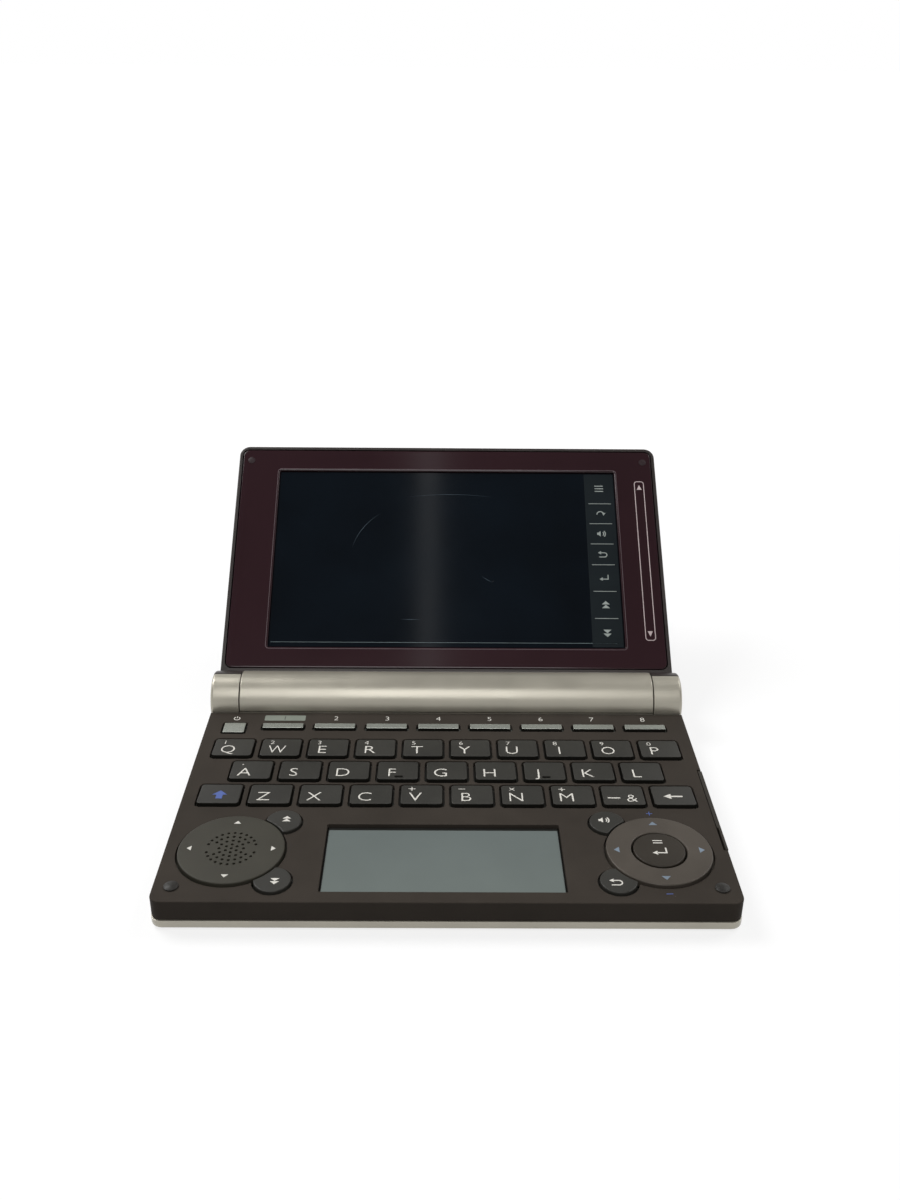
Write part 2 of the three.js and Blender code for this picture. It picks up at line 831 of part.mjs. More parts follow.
// The lower display: a module under the deck with its glass standing up into the window.
function subDisplay() {
  const halfWidth = panelWindowWidth / 2;
  const halfDepth = panelWindowDepth / 2;
  const top = -deckThickness - fitGap;
  const module = block(
    [panelWindowX - halfWidth - panelMargin, panelWindowY - halfDepth - panelMargin, top - panelThickness],
    [panelWindowX + halfWidth + panelMargin, panelWindowY + halfDepth + panelMargin, top],
  );
  const glass = block(
    [panelWindowX - halfWidth + fitGap, panelWindowY - halfDepth + fitGap, top - panelThickness / 2],
    [panelWindowX + halfWidth - fitGap, panelWindowY + halfDepth - fitGap, -panelRecess],
  );
  return module.add(glass);
}

// The pen: a head whose lip lies flush with the deck, a nail gap at its front and a shaft with a point.
function stylus() {
  const right = halfBase - fitGap / 6;
  const bodyTop = -deckThickness - fitGap;
  const shaftX = right - penWidth / 2;
  const shaftZ = bodyTop - penHeight / 2;
  const head = block([right - penWidth, penHeadFront, bodyTop - penHeight], [right, penHeadBack, bodyTop]);
  const lip = block([right - penLipWidth, penNailBack, bodyTop - penHeight / 2], [right, penHeadBack, 0]);
  const nailLip = block([right - penNailWidth, penHeadFront, bodyTop - penHeight / 2], [right, penNailBack, 0]);
  const shaft = new THREE.LatheGeometry(
    [
      [0, penHeadBack - overrun],
      [penShaftRadius, penHeadBack - overrun],
      [penShaftRadius, penEnd - penTipLength],
      [penTipRadius, penEnd],
      [0, penEnd],
    ].map(([radius, along]) => new THREE.Vector2(radius, along)),
    smallSides,
  );
  shaft.translate(shaftX, 0, shaftZ);
  return join(head, lip, nailLip, solidOf(shaft));
}

// Lid, in its own frame

// The outline of the back cover, with the roots of its two arms and round corners at the free edge.
function lidOutline() {
  const right = lidWidth / 2;
  const top = lidTop - lidCornerRadius;
  const shape = new THREE.Shape();
  shape.moveTo(-right, armRoot);
  shape.lineTo(-capInside, armRoot);
  shape.lineTo(-capInside, lidBottom);
  shape.lineTo(capInside, lidBottom);
  shape.lineTo(capInside, armRoot);
  shape.lineTo(right, armRoot);
  shape.absarc(right - lidCornerRadius, top, lidCornerRadius, 0, Math.PI / 2);
  shape.absarc(lidCornerRadius - right, top, lidCornerRadius, Math.PI / 2, Math.PI);
  return shape;
}

// The dark back cover: a tray with arms that reach down round the barrel's ends.
function lidBackCover() {
  const pocket = roundedRectangle(
    lidWidth - 2 * lidRim,
    lidTop - lidBottom - 2 * lidRim,
    lidCornerRadius - lidRim,
    0,
    (lidTop + lidBottom) / 2,
  );
  const hooks = bothSides((side) => {
    const left = Math.min(side * capInside, side * halfBase);
    const right = left + halfBase - capInside;
    return sector(hubRadius + fitGap, barrelRadius, armFrom, armTo, left, right, 0, 0);
  });
  return chamferedPrism(lidOutline(), lidBack, lidFace, lidBackChamfer, 3)
    .subtract(prism(pocket, lidBack + lidSkin, lidFace + overrun, 3))
    .add(hooks);
}

// The wine-red bezel with the screen's window.
function lidBezel() {
  const inset = lidRim + fitGap;
  const height = lidTop - lidBottom - 2 * inset;
  const outline = roundedRectangle(
    lidWidth - 2 * inset,
    height,
    lidCornerRadius - inset,
    0,
    (lidTop + lidBottom) / 2,
  );
  const window = block(
    [-windowWidth / 2, windowBottom, lidFace - bezelThickness - overrun],
    [windowWidth / 2, windowTop, lidFace + overrun],
  );
  return prism(outline, lidFace - bezelThickness, lidFace, 2).subtract(window);
}

// The display module, with its glass standing up into the bezel's window.
function mainDisplay() {
  const top = lidFace - bezelThickness - fitGap;
  const module = block(
    [-windowWidth / 2 - displayMargin, windowBottom - displayMargin, top - displayThickness],
    [windowWidth / 2 + displayMargin, windowTop + displayMargin, top],
  );
  const glass = block(
    [-windowWidth / 2 + fitGap, windowBottom + fitGap, top - displayThickness / 2],
    [windowWidth / 2 - fitGap, windowTop - fitGap, lidFace - glassRecess],
  );
  return module.add(glass);
}

// A pale cap round one end of the barrel, with the hinge pin that turns in the barrel's bearing.
function hingeCap(side) {
  const from = armTo + seamAngle;
  const to = armFrom + 2 * Math.PI - seamAngle;
  const left = Math.min(side * capInside, side * halfBase);
  const right = left + halfBase - capInside;
  const endNear = halfBase - capWall;
  const endLeft = Math.min(side * endNear, side * halfBase);
  const endRight = endLeft + capWall;
  const pinLeft = Math.min(side * pinEnd, side * halfBase);
  const pinRight = pinLeft + halfBase - pinEnd;
  return join(
    sector(barrelRadius - capWall, barrelRadius, from, to, left, right, 0, 0),
    sector(0, barrelRadius, from, to, endLeft, endRight, 0, 0),
    rod(hubRadius, endLeft, endRight, 0, 0, smallSides),
    rod(pinRadius, pinLeft, pinRight, 0, 0, smallSides),
  );
}

// Scene graph

const base = new THREE.Group();
base.add(
  piece("base_top_case", baseTopCase(), finishes.darkShell),
  piece("base_bottom_case", baseBottomCase(), finishes.paleShell),
  piece("barrel_cover", barrelCover(), finishes.paleShell),
  piece("battery_door", batteryDoor(), finishes.paleShell),
  piece("battery_left", cell(-cellLength - fitGap / 2), finishes.cellSleeve),
  piece("battery_right", cell(fitGap / 2), finishes.cellSleeve),
  piece("main_board", mainBoard(), finishes.circuitBoard),
  piece("speaker", speaker(), finishes.speakerMetal),
  piece("sub_display", subDisplay(), finishes.panelGlass),
  piece("stylus", stylus(), finishes.penPlastic),
);

for (const { name, x, y, size, rises, finish } of rectangularKeys()) {
  const key = piece(name, rectangularKey(...size, ...rises), finish);
  key.position.set(x, y, 0);
  base.add(key);
}

const pad = piece("speaker_pad", speakerPad(), finishes.padPlastic);
pad.position.set(padX, dialY, 0);
const ring = piece("nav_ring", navRing(), finishes.ringPlastic);
ring.position.set(ringX, dialY, 0);
const enter = piece("enter_key", enterKey(), finishes.padPlastic);
enter.position.copy(ring.position);
base.add(pad, ring, enter);

for (const place of sideKeys) {
  const key = piece(place.name, sideKey(place), finishes.darkKey);
  key.position.set(place.dial + place.across, dialY + place.along, 0);
  base.add(key);
}

const lid = new THREE.Group();
lid.add(
  piece("lid_back_cover", lidBackCover(), finishes.darkShell),
  piece("lid_bezel", lidBezel(), finishes.wineBezel),
  piece("main_display", mainDisplay(), finishes.screenGlass),
  piece("hinge_cap_left", hingeCap(-1), finishes.paleShell),
  piece("hinge_cap_right", hingeCap(1), finishes.paleShell),
);
lid.position.set(0, axisY, barrelRise);
lid.rotation.x = lidTilt;

const dictionary = new THREE.Group();
dictionary.name = "electronic_dictionary";
dictionary.add(base, lid);
const extent = new THREE.Box3().setFromObject(dictionary, true);
dictionary.position.set(0, -(extent.min.y + extent.max.y) / 2, -extent.min.z);

export default dictionary;
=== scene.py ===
"""Electronic dictionary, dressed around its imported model: shells, barrel, lid, displays, keys and pen."""

import json
import logging
import math
from collections.abc import Callable, Iterable, Sequence
from dataclasses import dataclass
from enum import Enum

import bmesh
import bpy
from bmesh.types import BMEdge, BMFace, BMVert
from bpy.types import Material, Mesh, Node, NodeSocket, NodeTree, Object
from mathutils import Matrix, Vector


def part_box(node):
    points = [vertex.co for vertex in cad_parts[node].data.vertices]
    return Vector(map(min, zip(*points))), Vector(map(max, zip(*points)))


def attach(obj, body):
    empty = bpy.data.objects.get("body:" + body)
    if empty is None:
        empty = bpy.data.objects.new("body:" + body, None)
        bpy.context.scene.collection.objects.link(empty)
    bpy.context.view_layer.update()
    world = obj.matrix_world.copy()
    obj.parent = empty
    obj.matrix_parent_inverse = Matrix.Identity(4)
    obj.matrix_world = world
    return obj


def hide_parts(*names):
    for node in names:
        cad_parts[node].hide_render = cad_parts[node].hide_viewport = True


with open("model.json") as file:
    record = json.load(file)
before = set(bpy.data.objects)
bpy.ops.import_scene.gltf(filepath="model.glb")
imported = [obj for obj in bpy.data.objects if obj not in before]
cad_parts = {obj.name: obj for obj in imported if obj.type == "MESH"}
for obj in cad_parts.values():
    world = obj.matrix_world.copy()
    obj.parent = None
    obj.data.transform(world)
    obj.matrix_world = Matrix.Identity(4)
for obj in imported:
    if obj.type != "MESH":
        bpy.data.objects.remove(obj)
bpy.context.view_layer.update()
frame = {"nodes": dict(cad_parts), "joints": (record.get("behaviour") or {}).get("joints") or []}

LOG = logging.getLogger("electronic_dictionary")

Flat = tuple[float, float]
Three = tuple[float, float, float]
Four = tuple[float, float, float, float]
Point = Three
Outline = list[Flat]
Colour = tuple[int, int, int]
Surface = Callable[[float, float], float]

# Sizes that several sub-assemblies share, in millimetres. The base's frame has X to the right, Y from the
# front edge to the back and Z up from the deck. The lid's frame has Y from the hinge axis to its free edge
# and Z out of the screen.
MM = 0.001
FIT = 0.3
HALF_BASE = 74.0
DECK_DEPTH = 88.2
DECK_THICKNESS = 1.2
CASE_WALL = 1.6
CORNER_RADIUS = 3.0
UPPER_HEIGHT = 5.6
BARREL_RADIUS = 8.5
BARREL_RISE = 0.2
BARREL_INSIDE = 7.5
BASE_HEIGHT = BARREL_RADIUS - BARREL_RISE
AXIS_Y = DECK_DEPTH + BARREL_RADIUS
CAP_LENGTH = 8.85
CAP_INSIDE = HALF_BASE - CAP_LENGTH
HALF_BARREL = CAP_INSIDE - FIT
BEARING_ROOM = 11.65
BAY_HALF = HALF_BARREL - BEARING_ROOM
SEAM_ANGLE = FIT / BARREL_RADIUS
DOOR_DROP = math.radians(8)
TROUGH_SPAN = (math.pi + SEAM_ANGLE, math.tau - DOOR_DROP - SEAM_ANGLE)
ARM_RELIEF = 0.4
KEY_GAP = 0.5
KEY_RADIUS = 1.0
BAR_RADIUS = 0.3
FLANGE_REACH = 0.6
FLANGE_THICKNESS = 1.0
FLANGE_TOP = -DECK_THICKNESS - FIT
KEY_FOOT = FLANGE_TOP - FLANGE_THICKNESS
DIAL_RADIUS = 13.9
DIAL_Y = 20.0
PAD_X = -56.3
RING_X = 55.5
SIDE_KEY_RADIUS = 4.75
SIDE_KEY_REACH = (12.2, 12.0)
LID_TILT = math.radians(38.5)
LID_FACE = -0.8
GLASS_FACE = -1.5
HINGE_LINE = (0.0, AXIS_Y, BARREL_RISE)
LID_LINE = (0.0, 0.0, 0.0)

# The lower display's window: width, depth and centre
DISPLAY_WINDOW = (62.4, 27.2, -1.0, 17.8)

# A print's thickness, how far a cutting solid reaches past what it cuts, the distance within which corners
# merge, and how close to a surface a corner counts as on it
INK = 0.03
OVERRUN = 1.0
WELD = 0.0005
TOUCH = 0.01

# The turn between two faces past which their edge is rounded, and the rise of a normal up to which its face
# counts as upright
SHARP_TURN = math.radians(25)
UPRIGHT_RISE = 0.5


class Body(str, Enum):
    """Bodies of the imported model, apart from the keys' own."""

    BASE = "base"
    LID = "lid"
    PEN = "stylus"
    DOOR = "battery_door"


class Cut(str, Enum):
    """What one solid does to another."""

    TAKE = "DIFFERENCE"
    ADD = "UNION"


# Places


def base_place() -> Matrix:
    """The move from the base's frame, in millimetres, to the model's, in metres."""
    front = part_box("base_bottom_case")[0].y
    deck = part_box("base_top_case")[0].z + UPPER_HEIGHT * MM
    return Matrix.Translation((0, front, deck)) @ Matrix.Scale(MM, 4)


def lid_place() -> Matrix:
    """The move from the lid's frame, in millimetres, to the model's, in metres."""
    hinge = next(joint for joint in frame["joints"] if joint["name"] == "lid_hinge")
    return Matrix.Translation(hinge["pos_m"]) @ Matrix.Rotation(LID_TILT, 4, "X") @ Matrix.Scale(MM, 4)


BASE_PLACE = base_place()
LID_PLACE = lid_place()


@dataclass(frozen=True)
class KeyPlace:
    """Where a key sits in the deck, in millimetres: its centre, its cap's size and its highest point."""

    x: float
    y: float
    width: float
    depth: float
    top: float

    @classmethod
    def of(cls, node: str) -> "KeyPlace":
        """Reads a key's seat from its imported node.

        Args:
            node: Name of the node.

        Returns:
            The seat of the key's cap, without its flange.
        """
        back = BASE_PLACE.inverted()
        low, high = (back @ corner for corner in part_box(node))
        middle, size = (low + high) / 2, high - low
        return cls(middle.x, middle.y, size.x - 2 * FLANGE_REACH, size.y - 2 * FLANGE_REACH, high.z)


# Outlines


def arc(radius: float, start: float, end: float, x: float = 0.0, y: float = 0.0, steps: int = 8) -> Outline:
    """Points along a circular arc round a centre, from its start angle to its end angle, both included."""
    angles = [start + (end - start) * i / steps for i in range(steps + 1)]
    return [(x + radius * math.cos(a), y + radius * math.sin(a)) for a in angles]


def circle(radius: float, x: float = 0.0, y: float = 0.0, steps: int = 64) -> Outline:
    """Points round a circle, the first one not repeated."""
    return arc(radius, 0.0, math.tau, x, y, steps)[:-1]


def rounded_rectangle(
    width: float, depth: float, radius: float, x: float = 0.0, y: float = 0.0, steps: int = 4
) -> Outline:
    """Points round a rectangle with round corners.

    Args:
        width: Size across.
        depth: Size along.
        radius: Radius of the corners.
        x: Centre across.
        y: Centre along.
        steps: Number of straight pieces in each corner.

    Returns:
        The points, counter-clockwise.
    """
    across, along = width / 2 - radius, depth / 2 - radius
    points: Outline = []
    for i, (side, end) in enumerate(((1, 1), (-1, 1), (-1, -1), (1, -1))):
        start = i * math.pi / 2
        points += arc(radius, start, start + math.pi / 2, x + side * across, y + end * along, steps)
    return points


def base_outline(inset: float, back: float) -> Outline:
    """Points round the base from above, square at the back where it meets the barrel.

    Args:
        inset: How far the outline lies inside the case's own.
        back: Its back edge.

    Returns:
        The points, counter-clockwise.
    """
    side = HALF_BASE - inset
    radius = CORNER_RADIUS - min(inset, CORNER_RADIUS / 2)
    left = arc(radius, math.pi, 1.5 * math.pi, radius - side, inset + radius, steps=6)
    right = arc(radius, 1.5 * math.pi, math.tau, side - radius, inset + radius, steps=6)
    return [(side, back), (-side, back), *left, *right]


def meeting_angles(distance: float, radius: float, other: float) -> Flat:
    """Half-angles under which two crossing circles see the points where they meet.

    Args:
        distance: Distance of the centres.
        radius: Radius of the first circle.
        other: Radius of the second circle.

    Returns:
        The half-angle at the first centre and at the second.
    """
    first = math.acos((distance**2 + radius**2 - other**2) / (2 * distance * radius))
    second = math.acos((distance**2 + other**2 - radius**2) / (2 * distance * other))
    return first, second


def lobed_circle(radius: float, lobe: float, centres: Sequence[Flat], x: float, y: float) -> Outline:
    """Points round a circle joined with smaller circles that cross its rim.

    Args:
        radius: Radius of the large circle.
        lobe: Radius of the small circles.
        centres: Centres of the small circles, from the large one's centre.
        x: Large circle's centre across.
        y: Large circle's centre along.

    Returns:
        The points, counter-clockwise.
    """
    directions = sorted(math.atan2(along, across) % math.tau for across, along in centres)
    distance = math.hypot(*centres[0])
    half, turn = meeting_angles(distance, radius, lobe)
    fewest, rim_step = 8, math.radians(5)
    points: Outline = []
    for direction, following in zip(directions, [*directions[1:], directions[0] + math.tau]):
        across, along = x + distance * math.cos(direction), y + distance * math.sin(direction)
        start, end = direction - math.pi + turn, direction + math.pi - turn
        points += arc(lobe, start, end, across, along, steps=24)[:-1]
        steps = max(fewest, round((following - direction - 2 * half) / rim_step))
        points += arc(radius, direction + half, following - half, x, y, steps)[:-1]
    return points


def bitten_circle(radius: float, across: float, along: float, bite: float) -> Outline:
    """Points round a small circle with a bite taken by a large one, from the small one's centre.

    Args:
        radius: Radius of the small circle.
        across: Small circle's centre across, from the large one's centre.
        along: Small circle's centre along, from the large one's centre.
        bite: Radius of the large circle.

    Returns:
        The points, counter-clockwise.
    """
    half, turn = meeting_angles(math.hypot(across, along), bite, radius)
    direction = math.atan2(along, across)
    outside = arc(radius, direction - math.pi + turn, direction + math.pi - turn, steps=28)
    return outside + arc(bite, direction + half, direction - half, -across, -along, steps=10)[1:-1]


def outward(before: Vector, here: Vector, after: Vector) -> Vector:
    """The step at a corner that moves both its sides one unit outwards, on a counter-clockwise outline."""
    first, second = (here - before).normalized(), (after - here).normalized()
    return Vector((first.y + second.y, -first.x - second.x)) / (1 + first.dot(second))


def grown(points: Sequence[Flat], by: float) -> Outline:
    """An outline moved outwards by one distance, or inwards if that is negative.

    Args:
        points: The outline, counter-clockwise.
        by: The distance.

    Returns:
        As many points, in the same order.
    """
    corners = [Vector(point) for point in points]
    trios = zip([corners[-1], *corners[:-1]], corners, [*corners[1:], corners[0]])
    return [tuple(here + outward(before, here, after) * by) for before, here, after in trios]


def stroke(points: Sequence[Flat], width: float) -> Outline:
    """Points round a line of one width.

    Args:
        points: The line's own points.
        width: Its width.

    Returns:
        The points, counter-clockwise.
    """
    corners = [Vector(point) for point in points]
    corners = [2 * corners[0] - corners[1], *corners, 2 * corners[-1] - corners[-2]]
    trios = list(zip(corners, corners[1:], corners[2:]))
    right, left = (
        [tuple(here + outward(before, here, after) * side * width / 2) for before, here, after in trios]
        for side in (1, -1)
    )
    return right + left[::-1]


def shifted(points: Iterable[Flat], x: float, y: float, turn: float = 0.0, scale: float = 1.0) -> Outline:
    """An outline turned counter-clockwise and scaled about its origin, then moved."""
    cos, sin = scale * math.cos(turn), scale * math.sin(turn)
    return [(x + cos * px - sin * py, y + sin * px + cos * py) for px, py in points]


def triangle(width: float, height: float) -> Outline:
    """Points of a triangle that points up, round its middle."""
    return [(-width / 2, -height / 2), (width / 2, -height / 2), (0.0, height / 2)]


def wall_profile(left: float, right: float, inner: float, outer: float) -> Outline:
    """Section of a wall round an axis: places along it with their distances from it."""
    return [(left, inner), (right, inner), (right, outer), (left, outer)]


def at_height(points: Iterable[Flat], height: float) -> list[Point]:
    """The same points in space, at one height."""
    return [(x, y, height) for x, y in points]


def level(height: float) -> Surface:
    """A flat surface for prints to lie on."""
    return lambda x, y: height


def side_span(side: int, near: float, far: float) -> Flat:
    """Left and right end of a stretch given from the middle, on one side."""
    return min(side * near, side * far), max(side * near, side * far)


# Generic signs, drawn about one unit high


class Sign(Enum):
    """Signs printed on keys and beside them."""

    UP = "up"
    LIST = "list"
    JUMP = "jump"
    SOUND = "sound"
    RETURN = "return"
    ENTER = "enter"
    PAGES = "pages"
    ERASE = "erase"
    SHIFT = "shift"
    PLUS = "plus"
    MINUS = "minus"
    TIMES = "times"
    DIVIDE = "divide"
    EQUALS = "equals"
    DOT = "dot"
    POWER = "power"

    def outlines(self) -> list[Outline]:
        """The sign's outlines, round its middle.

        Returns:
            One list of points for each closed shape.
        """
        line, reach, quarter = 0.11, 0.42, math.pi / 2
        head = triangle(0.42, 0.36)
        rule = stroke([(-reach, 0.0), (reach, 0.0)], line)
        lower = stroke([(0.0, -reach), (0.0, -line / 2)], line)
        upper = stroke([(0.0, line / 2), (0.0, reach)], line)
        cross = [rule, lower, upper]
        horn = [(-0.5, -0.14), (-0.34, -0.14), (-0.1, -0.36), (-0.1, 0.36), (-0.34, 0.14), (-0.5, 0.14)]
        bend = [(-0.2, 0.2), *arc(0.27, quarter, -quarter, 0.2, -0.07, steps=8), (-0.4, -0.34)]
        shapes: dict[Sign, list[Outline]] = {
            Sign.UP: [triangle(1.0, 0.62)],
            Sign.LIST: [stroke([(-0.5, y), (0.5, y)], line) for y in (-0.35, 0.0, 0.35)],
            Sign.JUMP: [
                stroke(arc(0.4, math.pi, 0.5, 0.0, -0.12, steps=10), line),
                shifted(head, 0.38, -0.06, math.pi - 0.1),
            ],
            Sign.SOUND: [horn, *(stroke(arc(r, -0.8, 0.8, -0.05, steps=6), line) for r in (0.3, 0.5))],
            Sign.RETURN: [stroke(bend, line), shifted(head, -0.36, 0.2, quarter)],
            Sign.ENTER: [
                stroke([(0.45, 0.4), (0.45, -0.14), (-0.2, -0.14)], line),
                shifted(head, -0.34, -0.14, quarter),
            ],
            Sign.PAGES: [shifted(triangle(0.9, 0.42), 0.0, y) for y in (0.26, -0.2)],
            Sign.ERASE: [
                stroke([(-0.2, 0.0), (0.6, 0.0)], 0.16),
                shifted(triangle(0.62, 0.5), -0.42, 0.0, quarter),
            ],
            Sign.SHIFT: [
                [(-0.2, -0.45), (0.2, -0.45), (0.2, 0.0), (0.48, 0.0), (0.0, 0.5), (-0.48, 0.0), (-0.2, 0.0)]
            ],
            Sign.PLUS: cross,
            Sign.MINUS: [rule],
            Sign.TIMES: [shifted(points, 0.0, 0.0, quarter / 2) for points in cross],
            Sign.DIVIDE: [rule, *(circle(0.1, 0.0, y, steps=10) for y in (0.27, -0.27))],
            Sign.EQUALS: [shifted(rule, 0.0, y) for y in (-0.16, 0.16)],
            Sign.DOT: [circle(0.3, steps=14)],
            Sign.POWER: [
                stroke(arc(0.36, math.radians(125), math.radians(415), steps=16), line),
                stroke([(0.0, 0.08), (0.0, 0.5)], line),
            ],
        }
        return shapes[self]


# Finishes


# Share of the dust's cells that hold no speck, and the values of the noise between which a patch changes
CLEAN_SHARE = 0.8
PATCH_RANGE = (0.3, 0.7)


def linear(colour: Colour) -> Four:
    """A colour of 0 to 255 as the shader's own values."""
    shares = (value / 255 for value in colour)
    return (*(s / 12.92 if s <= 0.04045 else ((s + 0.055) / 1.055) ** 2.4 for s in shares), 1.0)


def fill(tree: NodeTree, node: Node, inputs: dict[str | int, object]) -> None:
    """Gives a node's inputs their values.

    Args:
        tree: The node's tree.
        node: The node.
        inputs: Values or sockets for its inputs, by name or number.
    """
    for name, value in inputs.items():
        if isinstance(value, NodeSocket):
            tree.links.new(value, node.inputs[name])
        else:
            node.inputs[name].default_value = value


def add_node(
    tree: NodeTree, kind: str, inputs: dict[str | int, object] | None = None, **settings: object
) -> Node:
    """Adds one node.

    Args:
        tree: Tree that gets it.
        kind: The node's type.
        inputs: Values or sockets for its inputs, by name or number.
        settings: Properties of the node.

    Returns:
        The node.
    """
    made = tree.nodes.new(kind)
    for name, value in settings.items():
        setattr(made, name, value)
    fill(tree, made, inputs or {})
    return made


def calculated(tree: NodeTree, operation: str, *values: object) -> NodeSocket:
    """The result of one step of arithmetic on numbers or sockets."""
    return add_node(tree, "ShaderNodeMath", dict(enumerate(values)), operation=operation).outputs[0]


def ranged(tree: NodeTree, value: object, ends: Sequence[object], low: float, high: float) -> NodeSocket:
    """A value that goes from low to high while another goes from one end of its range to the other."""
    start, end = ends
    return add_node(tree, "ShaderNodeMapRange", {0: value, 1: start, 2: end, 3: low, 4: high}).outputs[0]


def new_group(name: str, inputs: dict[str, float | None], outputs: Sequence[str]) -> NodeTree:
    """Starts a shader node group.

    Args:
        name: Name of the group.
        inputs: Default of each input: a number, or None for a vector.
        outputs: Names of its outputs, all numbers.

    Returns:
        The group's tree, with its sockets.
    """
    group = bpy.data.node_groups.new(name, "ShaderNodeTree")
    for label, default in inputs.items():
        kind = "NodeSocketVector" if default is None else "NodeSocketFloat"
        socket = group.interface.new_socket(label, in_out="INPUT", socket_type=kind)
        if default is not None:
            socket.default_value = default
    for label in outputs:
        group.interface.new_socket(label, in_out="OUTPUT", socket_type="NodeSocketFloat")
    return group


def surface_marks() -> NodeTree:
    """The group for grain, patches of uneven sheen and specks of dust, built once.

    Returns:
        The group, with outputs Grain, Patch and Speck.
    """
    name = "surface_marks"
    if name in bpy.data.node_groups:
        return bpy.data.node_groups[name]
    scales = {"Grain Scale": 4000.0, "Patch Scale": 60.0, "Speck Scale": 400.0}
    group = new_group(name, {"Vector": None, **scales, "Speck Size": 0.12}, ("Grain", "Patch", "Speck"))
    entry = group.nodes.new("NodeGroupInput").outputs

    def noise(scale: str, detail: float) -> NodeSocket:
        """Noise at one of the group's scales."""
        inputs = {"Vector": entry["Vector"], "Scale": entry[scale], "Detail": detail}
        return add_node(group, "ShaderNodeTexNoise", inputs).outputs[0]

    grain = noise("Grain Scale", 2.0)
    patch = noise("Patch Scale", 3.0)
    cell_inputs = {"Vector": entry["Vector"], "Scale": entry["Speck Scale"]}
    cells = add_node(group, "ShaderNodeTexVoronoi", cell_inputs).outputs
    chance = add_node(group, "ShaderNodeSeparateColor", {0: cells["Color"]}).outputs[0]
    rare = calculated(group, "GREATER_THAN", chance, CLEAN_SHARE)
    near = calculated(group, "LESS_THAN", cells["Distance"], entry["Speck Size"])
    speck = calculated(group, "MULTIPLY", rare, near)
    add_node(group, "NodeGroupOutput", {"Grain": grain, "Patch": patch, "Speck": speck})
    return group


def arc_scratch() -> NodeTree:
    """The group for one thin curved scratch that fades towards its ends, built once.

    Returns:
        The group, with the output Scratch.
    """
    name = "arc_scratch"
    if name in bpy.data.node_groups:
        return bpy.data.node_groups[name]
    inputs = {"Vector": None, "Centre": None, "Middle": None, "Reach": 0.005, "Width": 0.0002}
    group = new_group(name, inputs, ("Scratch",))
    entry = group.nodes.new("NodeGroupInput").outputs

    def distance(first: str, second: str) -> NodeSocket:
        """Distance of two of the group's vectors."""
        ends = {0: entry[first], 1: entry[second]}
        return add_node(group, "ShaderNodeVectorMath", ends, operation="DISTANCE").outputs["Value"]

    off = calculated(group, "SUBTRACT", distance("Vector", "Centre"), distance("Middle", "Centre"))
    line = ranged(group, calculated(group, "ABSOLUTE", off), (0.0, entry["Width"]), 1.0, 0.0)
    fade = ranged(group, distance("Vector", "Middle"), (0.0, entry["Reach"]), 1.0, 0.0)
    add_node(group, "NodeGroupOutput", {"Scratch": calculated(group, "MULTIPLY", line, fade)})
    return group


